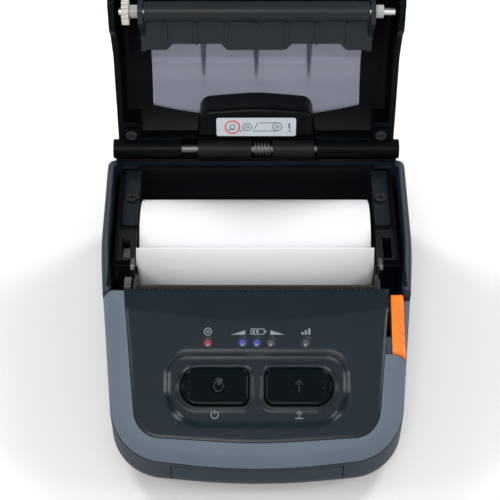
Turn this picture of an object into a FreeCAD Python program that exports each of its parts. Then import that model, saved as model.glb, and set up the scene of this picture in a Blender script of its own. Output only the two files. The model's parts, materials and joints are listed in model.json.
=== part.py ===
import FreeCAD
import Part
import math
import os

# Portable receipt printer for 80 mm paper, lid standing open
# Millimetres; X right, Y rear, Z up, base at Z 0

V = FreeCAD.Vector
os.makedirs("parts", exist_ok=True)

# Paper width and what is set out from it towards each side
PAPER_WIDTH = 79.5
PAPER_SIDE_ROOM = 1.05
BAY_HALF = PAPER_WIDTH / 2 + PAPER_SIDE_ROOM
LEDGE = 8.2
RIM_INNER = BAY_HALF + LEDGE

# Outer form of the case
RIM_WIDTH = 3.1
REAR_FLARE = 0.4
FRONT_TAPER = 6.5
HALF_WIDTH_WAIST = RIM_INNER + RIM_WIDTH
HALF_WIDTH_REAR = HALF_WIDTH_WAIST + REAR_FLARE
WAIST_Y = 8.0
HALF_WIDTH_FRONT = HALF_WIDTH_WAIST - FRONT_TAPER
REAR_Y = 60.0
FRONT_Y = -58.8
FRONT_BOW = 4.8
FRONT_BOW_R = 200.0
REAR_CORNER = 13.0
FRONT_CORNER = 18.0
CHIN_ROUND = 10.0
RIM_Z = 42.0
RIM_ROUND = 2.2
RIM_END_Y = 47.4
SHOULDER_SLOPE = 1.19
BAND_ROUND = 6.5
WALL = 2.4
FLOOR = 2.6

# Front panel and the seam of the bumper band
TEAR_Y = -11.0
CREASE_Y = -21.0
CREASE_Z = 39.0
PANEL_ANGLE = 25.24
PANEL_THICK = 2.2
PANEL_HALF_REAR = BAY_HALF + 2.2
PANEL_HALF_FRONT = HALF_WIDTH_FRONT - 7.4
PANEL_FRONT_Y = -54.6
PANEL_BOW = 2.2
PANEL_CORNER = 8.5
LIP_RADIUS = 1470.0
SEAM_FRONT_Z = 15.5
SEAM_REAR_Z = 35.3
SEAM_GAP = 0.5
FIT_GAP = 0.15

# Button recess, buttons and lights, measured down the panel from its crease
RECESS_HALF = 29.3
RECESS_TOP = 10.1
RECESS_BOTTOM = 34.4
RECESS_DEPTH = 1.6
RECESS_DRAFT = 1.5
TRAY_DEPTH = 3.0
BUTTON_IN = 2.7
BUTTON_OUT = 24.1
BUTTON_TOP = 15.4
BUTTON_BOTTOM = 27.3
BUTTON_GAP = 0.3
LENS_DOWN = 7.35
LENS_R = 1.2
LENS_OUTER_X = 15.7
LENS_INNER_X = 4.55

# Hinge and lid
HINGE_Y = 53.0
HINGE_Z = 42.0
LID_TURN = 103.5
LID_SIDE_GAP = 0.4
LID_HALF = RIM_INNER - LID_SIDE_GAP
LID_WALL = 2.0
LID_FRONT_Y = -9.0
LID_FRONT_Z = 45.0
LID_CROWN_Y = 22.0
LID_CROWN_Z = 57.2
LID_REAR_Y = 54.5
LID_REAR_Z = 47.8
LID_EDGE_Z = 42.4
CHEEK_Z = 34.6
BARREL_R = 3.5
PIN_R = 1.5
KNUCKLE_END = LID_HALF + 1.9
KNUCKLE_LEFT = -26.5
KNUCKLE_RIGHT = 21.5
BRACKET_HALF = 20.5
CRADLE_END = KNUCKLE_END - 0.6
CRADLE_GAP = 0.4
SPRING_X0 = -1.7
SPRING_X1 = 5.9
SPRING_R = 2.1
SPRING_WIRE = 0.7
SPRING_PITCH = 1.2
SPRING_TURNS = 5
WINDOW_HALF = LID_HALF - 12.1
WINDOW_FRONT_Y = 4.0
WINDOW_REAR_Y = 41.3
WINDOW_SAG = 4.0
COVER_HALF = 21.0
COVER_FACE_Z = 42.5
COVER_REAR = 48.7
COVER_FRONT = 38.4
COVER_CROWN = 1.6

# Platen, print head and gear train
PLATEN_Y = -2.5
PLATEN_Z = 38.0
RUBBER_R = 3.4
CORE_R = 2.0
JOURNAL_R = 1.25
BUSH_R = 2.2
RUNNING = 0.05
HEAD_GAP = 0.3
HEAD_THICK = 1.0
HEAD_ABOVE = 0.6
SINK_BELOW = 0.6
SINK_THICK = 2.2
PLATE_THICK = 1.0
SIDE_OUT = BAY_HALF - 0.4
SIDE_IN = SIDE_OUT - PLATE_THICK
HOOK_IN = SIDE_OUT + 0.2
HOOK_OUT = HOOK_IN + PLATE_THICK
BUSH_END = HOOK_OUT
ARM_THICK = 1.6
ARM_OUT = SIDE_IN - 0.4
ARM_IN = ARM_OUT - ARM_THICK
RUBBER_HALF = ARM_IN - 0.5
MODULE = 0.5
ADDENDUM = 0.4
DEDENDUM = 0.6
BACKLASH = 0.14
PRESSURE = math.radians(20.0)
GEAR_WIDTH = 2.3
GEAR_X1 = -HOOK_OUT - 0.3
GEAR_X0 = GEAR_X1 - GEAR_WIDTH
PLATEN_TEETH = 16
DRIVE_TEETH = 24
IDLER_TEETH = 24
PINION_TEETH = 14
MOTOR_Y = -21.3
MOTOR_Z = 25.0
MOTOR_R = 6.0
AXLE_R = 0.9
LATCH_Y = -4.0
LATCH_Z = 22.0
LATCH_R = 1.25
LEVER_IN = HOOK_OUT + 1.8
LEVER_OUT = LEVER_IN + 4.4
LEVER_REAR = -11.7
LEVER_FRONT = -30.5
LEVER_SEAT = 2.5
LEVER_ROUND = 2.4
LEVER_SUNK = 0.2
NOTCH_COUNT = 5
NOTCH_REAR = -17.6
NOTCH_PITCH = 2.3
NOTCH_R = 1.5
NOTCH_DEPTH = 0.7
LEG_OUT = LEVER_IN + 2.2

# Paper bay, roll and tail
BAY_Y = 25.5
BAY_Z = 28.6
BAY_R = 24.4
LINER = 1.6
FLANGE_Z = 34.8
COVER_TOP = FLANGE_Z + 1.2
FRONT_WALL_Z = 28.4
ROLL_SHIFT = -0.45
ROLL_LEFT = ROLL_SHIFT - PAPER_WIDTH / 2
ROLL_RIGHT = ROLL_SHIFT + PAPER_WIDTH / 2
ROLL_R = 16.4
ROLL_LIFT = 0.3
TUBE_R = 6.3
TUBE_WALL = 1.3
TAIL_THICK = 0.2
TAIL_GAP = 0.3
TAIL_START = 242.0
TAIL_LEAVE = 232.0
TAIL_SWEEP_R = 31.0
TAIL_CURL_R = 12.0
TAIL_END = 130.0

# Battery pack
PACK_HALF = 27.2
PACK_REAR = -18.5
PACK_TOP = 15.0
PACK_GAP = 0.3
PACK_WALL = 1.8
CELL_FRONT = -55.0
CELL_GAP = 0.4
RAIL = 1.8

# Belt-clip insert
CLIP_Y = -9.0
CLIP_BORE_R = 1.65
CLIP_R = 2.8
CLIP_TOP = 8.0


def flat(u, v):
    return V(u, v, 0)


def side(u, v):
    return V(0, u, v)


def outline(corners, place):
    """Closed wire of straight runs; each corner is (u, v, radius)."""
    runs = []
    count = len(corners)
    for i in range(count):
        u, v, radius = corners[i]
        here = place(u, v)
        back = place(corners[i - 1][0], corners[i - 1][1]) - here
        ahead = place(corners[(i + 1) % count][0], corners[(i + 1) % count][1]) - here
        back.normalize()
        ahead.normalize()
        if radius == 0:
            runs.append((here, here, here))
            continue
        half = back.getAngle(ahead) / 2
        inward = back + ahead
        inward.normalize()
        reach = radius / math.tan(half)
        mid = here + inward * (radius / math.sin(half) - radius)
        runs.append((here + back * reach, mid, here + ahead * reach))
    edges = []
    for i in range(count):
        start, mid, end = runs[i]
        if start != end:
            edges.append(Part.Arc(start, mid, end).toShape())
        nxt = runs[(i + 1) % count][0]
        if (nxt - end).Length > 1e-6:
            edges.append(Part.makeLine(end, nxt))
    return Part.Wire(edges)


def slab_z(corners, z0, z1):
    shape = Part.Face(outline(corners, flat)).extrude(V(0, 0, z1 - z0))
    shape.translate(V(0, 0, z0))
    return shape


def slab_x(corners, x0, x1):
    shape = Part.Face(outline(corners, side)).extrude(V(x1 - x0, 0, 0))
    shape.translate(V(x0, 0, 0))
    return shape


def block(x0, x1, y0, y1, z0, z1):
    return Part.makeBox(x1 - x0, y1 - y0, z1 - z0, V(x0, y0, z0))


def rod_x(radius, x0, x1, y, z):
    return Part.makeCylinder(radius, x1 - x0, V(x0, y, z), V(1, 0, 0))


def rod_z(radius, z0, z1, x, y):
    return Part.makeCylinder(radius, z1 - z0, V(x, y, z0), V(0, 0, 1))


def mirrored(shape):
    return shape.mirror(V(0, 0, 0), V(1, 0, 0))


def both(shape):
    return [shape, mirrored(shape)]


def join(shapes):
    if len(shapes) == 1:
        return shapes[0]
    return shapes[0].fuse(shapes[1:]).removeSplitter()


def opened(shape):
    """Carries a piece of the shut lid to where it stands open."""
    return shape.rotated(V(0, HINGE_Y, HINGE_Z), V(1, 0, 0), -LID_TURN)


def on_panel(shape):
    """Carries a piece from the panel's own axes to the sloping panel."""
    tilted = shape.rotated(V(0, 0, 0), V(1, 0, 0), PANEL_ANGLE)
    return tilted.translated(V(0, CREASE_Y, CREASE_Z))


def save(name, shapes):
    solids = []
    for shape in shapes:
        solids.extend(shape.Solids)
    for solid in solids:
        if not solid.isValid() or solid.Volume <= 0:
            print("not a sound solid:", name)
    whole = solids[0] if len(solids) == 1 else Part.makeCompound(solids)
    whole.exportStep("parts/" + name + ".step")
    print(name, len(solids), round(sum(s.Volume for s in solids), 2))


# Case envelope: the front part under the sloping panel and the rear part round the bay
PLAN = [
    (HALF_WIDTH_REAR, REAR_Y, REAR_CORNER),
    (-HALF_WIDTH_REAR, REAR_Y, REAR_CORNER),
    (-HALF_WIDTH_WAIST, WAIST_Y, 160),
    (-HALF_WIDTH_FRONT, FRONT_Y, FRONT_CORNER),
    (0, FRONT_Y - FRONT_BOW, FRONT_BOW_R),
    (HALF_WIDTH_FRONT, FRONT_Y, FRONT_CORNER),
    (HALF_WIDTH_WAIST, WAIST_Y, 160),
]
plan_wire = outline(PLAN, flat)
slope = math.tan(math.radians(PANEL_ANGLE))


def panel_z(y):
    return CREASE_Z + slope * (y - CREASE_Y)


def seam_z(y):
    front = FRONT_Y - FRONT_BOW
    return SEAM_FRONT_Z + (SEAM_REAR_Z - SEAM_FRONT_Z) * (y - front) / (TEAR_Y - front)


def rim_edges(shape, low):
    found = []
    for edge in shape.Edges:
        inside = True
        for vertex in edge.Vertexes:
            point = vertex.Point
            if point.z < low:
                inside = False
            if Part.Vertex(point.x, point.y, 0).distToShape(plan_wire)[0] > 0.02:
                inside = False
        middle = edge.valueAt((edge.FirstParameter + edge.LastParameter) / 2)
        if Part.Vertex(middle.x, middle.y, 0).distToShape(plan_wire)[0] > 0.02:
            inside = False
        if inside and abs(edge.tangentAt(edge.FirstParameter).z) < 0.95:
            found.append(edge)
    return found


def foot_edges(shape):
    found = []
    for edge in shape.Edges:
        on_floor = all(abs(vertex.Point.z) < 1e-6 for vertex in edge.Vertexes)
        on_wall = all(
            Part.Vertex(vertex.Point.x, vertex.Point.y, 0).distToShape(plan_wire)[0] < 0.02
            for vertex in edge.Vertexes
        )
        middle = edge.valueAt((edge.FirstParameter + edge.LastParameter) / 2)
        near = Part.Vertex(middle.x, middle.y, 0).distToShape(plan_wire)[0] < 0.02
        if on_floor and on_wall and near:
            found.append(edge)
    return found


prism = Part.Face(plan_wire).extrude(V(0, 0, 70))
front_form = prism.common(block(-80, 80, -90, TEAR_Y, -1, 80))
front_form = front_form.cut(
    slab_x([(-90, panel_z(-90), 0), (0, panel_z(0), 0), (0, 90, 0), (-90, 90, 0)], -80, 80)
)
front_form = front_form.makeFillet(BAND_ROUND, rim_edges(front_form, 12))
front_form = front_form.makeFillet(CHIN_ROUND, foot_edges(front_form))
lip_rise = math.atan2(RIM_Z - CREASE_Z, TEAR_Y - CREASE_Y)
lip_normal = V(0, -math.sin(lip_rise), math.cos(lip_rise))
lip_start = V(
    0, CREASE_Y - 20 * math.cos(lip_rise), CREASE_Z - 20 * math.sin(lip_rise),
) + lip_normal * LIP_RADIUS
lip_tool = Part.makeCylinder(LIP_RADIUS, 60, lip_start, V(0, math.cos(lip_rise), math.sin(lip_rise)))
front_form = front_form.cut(lip_tool.common(block(-70, 70, -45, 10, 20, 60)))

shoulder_drop = (REAR_Y + 20 - RIM_END_Y) * SHOULDER_SLOPE
rear_form = prism.common(block(-80, 80, TEAR_Y, 90, -1, 80))
rear_form = rear_form.cut(
    slab_x(
        [
            (-40, RIM_Z, 0),
            (RIM_END_Y, RIM_Z, 6),
            (REAR_Y + 20, RIM_Z - shoulder_drop, 0),
            (REAR_Y + 20, 90, 0),
            (-40, 90, 0),
        ],
        -80,
        80,
    )
)
rear_form = rear_form.makeFillet(RIM_ROUND, rim_edges(rear_form, 20))
rear_form = rear_form.makeFillet(CHIN_ROUND, foot_edges(rear_form))

above_seam = slab_x(
    [(-90, seam_z(-90), 0), (TEAR_Y, seam_z(TEAR_Y), 0), (TEAR_Y, 90, 0), (-90, 90, 0)], -80, 80,
)
above_gap = above_seam.translated(V(0, 0, SEAM_GAP))


def panel_prism(grow):
    return slab_z(
        [
            (PANEL_HALF_REAR + grow, TEAR_Y, 0),
            (-PANEL_HALF_REAR - grow, TEAR_Y, 0),
            (-PANEL_HALF_FRONT - grow, PANEL_FRONT_Y - grow, PANEL_CORNER + grow),
            (0, PANEL_FRONT_Y - PANEL_BOW - grow, FRONT_BOW_R),
            (PANEL_HALF_FRONT + grow, PANEL_FRONT_Y - grow, PANEL_CORNER + grow),
        ],
        0,
        60,
    )


# Lower case: floor, walls, battery rails, deck, posts and bosses
inner_wire = plan_wire.makeOffset2D(-WALL)
cavity = Part.Face(inner_wire).extrude(V(0, 0, 60))
cavity.translate(V(0, 0, FLOOR))
floor_edges = [e for e in cavity.Edges if all(abs(v.Point.z - FLOOR) < 1e-6 for v in e.Vertexes)]
cavity = cavity.makeFillet(CHIN_ROUND - WALL, floor_edges)
skin_drop = WALL * math.sqrt(1 + SHOULDER_SLOPE ** 2)
cavity = cavity.cut(
    slab_x(
        [
            (RIM_END_Y - 20, RIM_Z + 20 * SHOULDER_SLOPE - skin_drop, 0),
            (REAR_Y + 20, RIM_Z - shoulder_drop - skin_drop, 0),
            (REAR_Y + 20, 120, 0),
            (RIM_END_Y - 20, 120, 0),
        ],
        -80,
        80,
    )
)
bay_mouth = block(-RIM_INNER, RIM_INNER, TEAR_Y + 1.5, HINGE_Y, 33, 70)
front_low = front_form.cut(above_seam)
ribs = [
    block(
        PACK_HALF + PACK_GAP,
        PACK_HALF + PACK_GAP + RAIL,
        -70,
        PACK_REAR + 2,
        0,
        PACK_TOP + PACK_GAP + RAIL,
    ),
    block(-PACK_HALF - PACK_GAP - RAIL, PACK_HALF + PACK_GAP + RAIL, PACK_REAR + PACK_GAP, PACK_REAR + 2, 0,
          PACK_TOP + PACK_GAP + RAIL),
    block(
        -PACK_HALF - PACK_GAP - RAIL,
        PACK_HALF + PACK_GAP + RAIL,
        -58,
        PACK_REAR + 2,
        PACK_TOP + PACK_GAP,
        PACK_TOP + PACK_GAP + RAIL,
    ),
    rod_z(4.5, 0, CLIP_TOP + 1, 0, CLIP_Y),
    rod_z(2.0, 17, 18, 24, -34),
    rod_z(2.0, 17, 18, 24, -19.5),
    rod_z(3.4, 0.5, 6.6, 38, 43),
    rod_z(3.4, 0.5, 15, 36, -30),
    rod_z(2.5, 2, 17.5, 34, -12),
    rod_z(2.5, 2, 17.5, 34, -2),
]
ribs = ribs + [mirrored(rib) for rib in ribs if rib.BoundBox.XMin > 1]
ribs = [rib.common(front_low.fuse(rear_form)) for rib in ribs]
lower_case = join([front_low.cut(cavity), rear_form.cut([cavity, bay_mouth])] + ribs)
pack_bay = block(
    -PACK_HALF - PACK_GAP, PACK_HALF + PACK_GAP, -80, PACK_REAR + PACK_GAP, -1, PACK_TOP + PACK_GAP,
)
SCREW_PLACES = [(38, 43), (-38, 43), (36, -30), (-36, -30)]
cuts = [pack_bay, rod_z(CLIP_R, -1, CLIP_TOP, 0, CLIP_Y)]
for x, y in SCREW_PLACES:
    cuts.append(rod_z(2.6, -1, 1.3, x, y))
    cuts.append(rod_z(1.1, -1, 8, x, y))
CONTACT_XS = [-6, 0, 6]
for x in CONTACT_XS:
    cuts.append(block(x - 1.2, x + 1.2, PACK_REAR - 1, PACK_REAR + 3, 5, 10))
JACK_Y = 22.0
JACK_Z = 12.5
JACK_LENGTH = 6.4
USB_Y = 35.0
USB_Z = 9.0
SOCKET_SETBACK = 0.5
SIDE_WALL_X = HALF_WIDTH_WAIST - WALL - SOCKET_SETBACK
cuts.append(rod_x(3.4, -SIDE_WALL_X - 6, 6 - SIDE_WALL_X, JACK_Y, JACK_Z))
cuts.append(block(-SIDE_WALL_X - 6, 4 - SIDE_WALL_X, USB_Y - 4.2, USB_Y + 4.2, USB_Z - 1.6, USB_Z + 1.6))
lower_case = lower_case.cut(cuts)
save("lower_case", [lower_case])

# Bumper band with its tongue, open where the lever lies
band = front_form.common(above_gap).cut(panel_prism(FIT_GAP))
tongue_outer = Part.Face(plan_wire.makeOffset2D(-WALL - FIT_GAP)).extrude(V(0, 0, 60))
tongue_inner = Part.Face(plan_wire.makeOffset2D(-WALL - 1.6)).extrude(V(0, 0, 60))
tongue = tongue_outer.cut(tongue_inner).common(above_seam.translated(V(0, 0, -1.6)))
tongue = tongue.cut(above_seam.translated(V(0, 0, 1.5))).common(front_form)
tongue = tongue.cut([block(-30, 30, -80, 0, 0, 90), block(-80, 80, -16, 90, 0, 90), panel_prism(FIT_GAP)])
band = join([band, tongue])
lever_room = block(39, 80, LEVER_FRONT - 0.5, 0, 0, 90)
leg_room = block(39, LEG_OUT + 0.4, -23, 0, 0, 90)
band = band.cut(
    [
        block(-80, 80, TEAR_Y - 0.6, 0, 0, 90),
        lever_room.common(above_seam.translated(V(0, 0, LEVER_SEAT - 0.5))),
        leg_room,
    ]
)
band = max(band.Solids, key=lambda s: s.Volume)
save("bumper_band", [band])

# Front panel: skin, sunk tray for the buttons, light holes, board pillars
skin = front_form.common(panel_prism(0))
skin = skin.cut(front_form.translated(V(0, 0, -PANEL_THICK / math.cos(math.radians(PANEL_ANGLE)))))
skin = max(skin.Solids, key=lambda s: s.Volume)
recess = [
    (RECESS_HALF, -RECESS_TOP, 7),
    (-RECESS_HALF, -RECESS_TOP, 7),
    (-RECESS_HALF, -RECESS_BOTTOM, 12),
    (RECESS_HALF, -RECESS_BOTTOM, 12),
]
recess_floor = [
    (RECESS_HALF - RECESS_DRAFT, -RECESS_TOP - RECESS_DRAFT, 7 - RECESS_DRAFT),
    (RECESS_DRAFT - RECESS_HALF, -RECESS_TOP - RECESS_DRAFT, 7 - RECESS_DRAFT),
    (RECESS_DRAFT - RECESS_HALF, RECESS_DRAFT - RECESS_BOTTOM, 12 - RECESS_DRAFT),
    (RECESS_HALF - RECESS_DRAFT, RECESS_DRAFT - RECESS_BOTTOM, 12 - RECESS_DRAFT),
]
mouth_wire = outline(recess, flat)
floor_wire = outline(recess_floor, flat).translated(V(0, 0, -RECESS_DEPTH))
hollow = Part.makeLoft([mouth_wire, floor_wire], True)
hollow = hollow.fuse(slab_z(recess, 0, 2))
tray = slab_z(recess, -TRAY_DEPTH, -1.0)


def button_outline(grow):
    return [
        (-BUTTON_IN + grow, -BUTTON_TOP + grow, 2.5 + grow),
        (-BUTTON_OUT - grow, -BUTTON_TOP + grow, 5.5 + grow),
        (-BUTTON_OUT - grow, -BUTTON_BOTTOM - grow, 5.5 + grow),
        (-BUTTON_IN + grow, -BUTTON_BOTTOM - grow, 2.5 + grow),
    ]


button_well = slab_z(button_outline(BUTTON_GAP), -10, 2)
collar = slab_z(button_outline(BUTTON_GAP + 0.9), -TRAY_DEPTH, -RECESS_DEPTH + 0.5)
LENS_XS = [-LENS_OUTER_X, -LENS_INNER_X, 0, LENS_INNER_X, LENS_OUTER_X]
PILLARS = [(23.0, -LENS_DOWN), (-23.0, -LENS_DOWN), (26.2, -26.0), (-26.2, -26.0)]
BOARD_TOP = -7.6
BOARD_THICK = 1.2
panel = join([skin, on_panel(tray)])
panel = panel.cut(on_panel(hollow))
panel = join([panel] + [on_panel(c) for c in both(collar)])
panel = join(
    [panel] + [on_panel(rod_z(1.2, BOARD_TOP, -1.2 if y > -9 else -2.4, x, y)) for x, y in PILLARS]
)
panel = panel.cut(
    [on_panel(w) for w in both(button_well)] + [
        on_panel(rod_z(LENS_R, -6, 2, x, -LENS_DOWN)) for x in LENS_XS
    ]
)
save("front_panel", [panel])


def lens(x):
    body = rod_z(LENS_R, -4.2, -0.2, x, -LENS_DOWN)
    dome = Part.makeSphere(3.2, V(x, -LENS_DOWN, 0.15 - 3.2)).common(
        rod_z(LENS_R, -0.2, 1, x, -LENS_DOWN)
    )
    return on_panel(join([body, dome]))


save("lens_error", [lens(LENS_XS[0])])
save("lens_battery", [lens(LENS_XS[1]), lens(LENS_XS[2])])
save("lens_unlit", [lens(LENS_XS[3]), lens(LENS_XS[4])])

# Buttons: crowned caps with a keeping flange, a stem and three touch dots at the outer end
FLANGE_N = -TRAY_DEPTH - 0.2
CAP_TOP = -0.1


def button(dimple):
    cap = slab_z(button_outline(0), FLANGE_N - 0.7, CAP_TOP)
    top_edges = [e for e in cap.Edges if all(abs(v.Point.z - CAP_TOP) < 1e-6 for v in e.Vertexes)]
    cap = cap.makeFillet(0.7, top_edges)
    flange = slab_z(button_outline(0.7), FLANGE_N - 0.7, FLANGE_N)
    middle_x = -(BUTTON_IN + BUTTON_OUT) / 2
    middle_y = -(BUTTON_TOP + BUTTON_BOTTOM) / 2
    stem = rod_z(2.0, FLANGE_N - 1.5, FLANGE_N - 0.7, middle_x, middle_y)
    dots = [
        Part.makeSphere(
            0.55, V(-BUTTON_OUT + 2.6, middle_y + step * 2.0, CAP_TOP - 0.2),
        ) for step in (-1, 0, 1)
    ]
    whole = join([cap, flange, stem] + dots)
    if dimple:
        whole = whole.cut(Part.makeSphere(8.0, V(middle_x + 1.2, middle_y, CAP_TOP + 8.0 - 0.4)))
    return whole


save("power_button", [on_panel(button(True))])
save("feed_button", [on_panel(mirrored(button(False)))])

# Button board under the panel with a switch below each stem
board = block(-28, 28, -29.5, -4.5, BOARD_TOP - BOARD_THICK, BOARD_TOP)
save("button_board", [on_panel(board)])
STEM_X = (BUTTON_IN + BUTTON_OUT) / 2
STEM_Y = -(BUTTON_TOP + BUTTON_BOTTOM) / 2
switch = join([
    block(STEM_X - 3, STEM_X + 3, STEM_Y - 3, STEM_Y + 3, BOARD_TOP, BOARD_TOP + 1.2),
    rod_z(1.5, BOARD_TOP + 1.2, BOARD_TOP + 1.6, STEM_X, STEM_Y),
])
save("tact_switches", [on_panel(s) for s in both(switch)])

# Tear bar: a toothed steel strip behind the panel's rear edge
TOOTH_PITCH = 1.5
TOOTH_COUNT = int(2 * (SIDE_IN - 0.1) / TOOTH_PITCH)
TEAR_HALF = TOOTH_PITCH * TOOTH_COUNT / 2
TEAR_LOW = RIM_Z - 6
TOOTH_ROOT = RIM_Z - 0.6
tear_points = [V(-TEAR_HALF, 0, TEAR_LOW), V(TEAR_HALF, 0, TEAR_LOW), V(TEAR_HALF, 0, TOOTH_ROOT)]
for i in range(TOOTH_COUNT):
    tear_points.append(V(TEAR_HALF - TOOTH_PITCH * (i + 0.5), 0, RIM_Z + 0.2))
    tear_points.append(V(TEAR_HALF - TOOTH_PITCH * (i + 1), 0, TOOTH_ROOT))
tear_face = Part.Face(Part.makePolygon(tear_points + [tear_points[0]]))
tear_bar = tear_face.extrude(V(0, 0.7, 0))
tear_bar.translate(V(0, TEAR_Y + 0.05, 0))
save("tear_bar", [tear_bar])

# Bay liner: trough for the roll, side walls, flange along both sides
LINER_OUT = BAY_HALF + LINER
trough_low = BAY_Z - BAY_R


def trough(radius, x0, x1, top):
    bowl = rod_x(radius, x0, x1, BAY_Y, BAY_Z).common(block(x0, x1, -60, 90, -10, BAY_Z))
    return bowl.fuse(block(x0, x1, BAY_Y - radius, BAY_Y + radius, BAY_Z, top))


liner = trough(BAY_R + LINER, -LINER_OUT, LINER_OUT, FLANGE_Z)
FLANGE_HALF = RIM_INNER - 0.6
SLOT_Y = 5.2
FLANGE_REAR = BAY_Y + BAY_R - 2.0
flange = block(-FLANGE_HALF, FLANGE_HALF, SLOT_Y, FLANGE_REAR, FLANGE_Z - 1.2, FLANGE_Z)
liner = join([liner, flange]).cut(trough(BAY_R, -BAY_HALF, BAY_HALF, 60))
POCKET_IN = BAY_HALF + 1.8
POCKET_OUT = POCKET_IN + 3.0
POCKET_Y0 = 6.6
POCKET_Y1 = 15.5
liner = liner.cut(both(block(SIDE_IN - 0.1, RIM_INNER + 5, -10, SLOT_Y, 0, 60)))
liner = liner.cut(both(block(POCKET_IN, POCKET_OUT, POCKET_Y0, POCKET_Y1, 20, 60)))
liner = liner.cut(block(-RIM_INNER, RIM_INNER, -10, SLOT_Y, FRONT_WALL_Z, 60))
save("bay_liner", [liner])

# Covers, screws and pocket frames on the flange
COVER_OUT = BAY_HALF + 5.6
COVER_SCREW_X = BAY_HALF + 2.7
COVER_Y0 = 22.3
COVER_SCREW_Y = 34.3
cover = slab_z(
    [
        (BAY_HALF, COVER_Y0, 0),
        (COVER_OUT, COVER_Y0, 1.5),
        (COVER_OUT, FLANGE_REAR, 1.5),
        (BAY_HALF, FLANGE_REAR, 0),
    ],
    FLANGE_Z,
    COVER_TOP,
)
cover = cover.cut(rod_z(1.0, 30, 40, COVER_SCREW_X, COVER_SCREW_Y))
save("bay_cover_right", [cover])
save("bay_cover_left", [mirrored(cover)])
cover_screw = join([
    rod_z(1.0, FLANGE_Z, COVER_TOP, COVER_SCREW_X, COVER_SCREW_Y),
    rod_z(1.9, COVER_TOP, COVER_TOP + 0.9, COVER_SCREW_X, COVER_SCREW_Y),
])


def cross_slot(x, y, z0, z1):
    return [
        block(x - 1.4, x + 1.4, y - 0.3, y + 0.3, z0, z1),
        block(x - 0.3, x + 0.3, y - 1.4, y + 1.4, z0, z1),
    ]


cover_screw = cover_screw.cut(cross_slot(COVER_SCREW_X, COVER_SCREW_Y, COVER_TOP + 0.4, COVER_TOP + 2))
save("bay_cover_screws", both(cover_screw))
POCKET_FRAME_OUT = RIM_INNER - 1.4
POCKET_FRAME_REAR = 19.1
frame_piece = slab_z(
    [
        (BAY_HALF, SLOT_Y + 0.4, 0),
        (POCKET_FRAME_OUT, SLOT_Y + 0.4, 1),
        (POCKET_FRAME_OUT, POCKET_FRAME_REAR, 1),
        (BAY_HALF, POCKET_FRAME_REAR, 0),
    ],
    FLANGE_Z,
    FLANGE_Z + 2.4,
)
frame_piece = frame_piece.cut(block(POCKET_IN, POCKET_OUT, POCKET_Y0, POCKET_Y1, 20, 60))
save("pocket_frame_right", [frame_piece])
save("pocket_frame_left", [mirrored(frame_piece)])
switch_body = block(
    -POCKET_OUT, -POCKET_IN, POCKET_Y0 + 1.4, POCKET_Y1 - 1.5, FLANGE_Z - 8.8, FLANGE_Z - 1.6,
)
switch_arm = block(
    -POCKET_OUT + 0.6, -POCKET_IN - 0.6, POCKET_Y0 + 2.4, POCKET_Y1 - 2.1, FLANGE_Z - 1.6, FLANGE_Z - 1.0,
)
save("cover_switch", [join([switch_body, switch_arm])])

# Mechanism frame: floor, front wall and two notched side plates
HEAD_Y = PLATEN_Y - RUBBER_R - HEAD_GAP
FRAME_FRONT = -15.0
FRAME_LOW = 17.5
plate = slab_x(
    [
        (FRAME_FRONT, FRAME_LOW, 0),
        (-0.8, FRAME_LOW, 0),
        (1.0, FRAME_LOW + 9, 3),
        (1.0, 40.2, 0.8),
        (FRAME_FRONT + 4.6, 40.2, 3),
        (FRAME_FRONT, 33, 3),
    ],
    SIDE_IN,
    SIDE_OUT,
)
NOTCH_HALF = 2.5
notch = join([
    rod_x(NOTCH_HALF, SIDE_IN - 1, SIDE_OUT + 1, PLATEN_Y, PLATEN_Z),
    block(
        SIDE_IN - 1, SIDE_OUT + 1, PLATEN_Y - NOTCH_HALF, PLATEN_Y + NOTCH_HALF, PLATEN_Z, PLATEN_Z + 12,
    ),
])
plate = plate.cut([notch, rod_x(LATCH_R + RUNNING, SIDE_IN - 1, SIDE_OUT + 1, LATCH_Y, LATCH_Z)])
motor_ear = slab_x(
    [(-28, 17.5, 3), (-14.8, 17.5, 0), (-14.8, 32.5, 0), (-28, 32.5, 3)], -SIDE_OUT, -SIDE_IN,
)
motor_ear = motor_ear.cut(rod_x(2.0, -SIDE_OUT - 1, 1 - SIDE_IN, MOTOR_Y, MOTOR_Z))
frame_floor = block(-SIDE_OUT, SIDE_OUT, FRAME_FRONT, -0.8, FRAME_LOW, FRAME_LOW + 1)
frame_wall = block(-SIDE_IN, SIDE_IN, FRAME_FRONT, FRAME_FRONT + 1, FRAME_LOW, 34)
mech_frame = join([frame_floor, frame_wall, motor_ear] + both(plate))
save("mech_frame", [mech_frame])

# Print head, its heat sink and two leaf springs
HEAD_HALF = SIDE_IN - 0.4
head = block(-HEAD_HALF, HEAD_HALF, HEAD_Y - HEAD_THICK, HEAD_Y, PLATEN_Z - 9, PLATEN_Z + HEAD_ABOVE)
bead = rod_x(0.6, 1 - RUBBER_HALF, RUBBER_HALF - 1, HEAD_Y - 0.45, PLATEN_Z)
head = join(
    [
        head,
        bead.common(block(-HEAD_HALF, HEAD_HALF, HEAD_Y - 2, HEAD_Y + 0.15, PLATEN_Z - 2, PLATEN_Z + 2)),
    ]
)
save("print_head", [head])
SINK_FRONT = HEAD_Y - HEAD_THICK - SINK_THICK
sink = block(
    0.2 - SIDE_IN, SIDE_IN - 0.2, SINK_FRONT, HEAD_Y - HEAD_THICK, PLATEN_Z - 11.5, PLATEN_Z - SINK_BELOW,
)
save("head_heatsink", [sink])
leaf = slab_x(
    [
        (FRAME_FRONT + 1, 22, 0),
        (FRAME_FRONT + 1.4, 22, 0),
        (FRAME_FRONT + 1.4, 26, 1),
        (SINK_FRONT, 30, 0.6),
        (SINK_FRONT, 33, 0),
        (SINK_FRONT - 0.4, 33, 0),
        (SINK_FRONT - 0.4, 30.2, 1),
        (FRAME_FRONT + 1, 26.2, 0.6),
    ],
    20,
    25,
)
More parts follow.
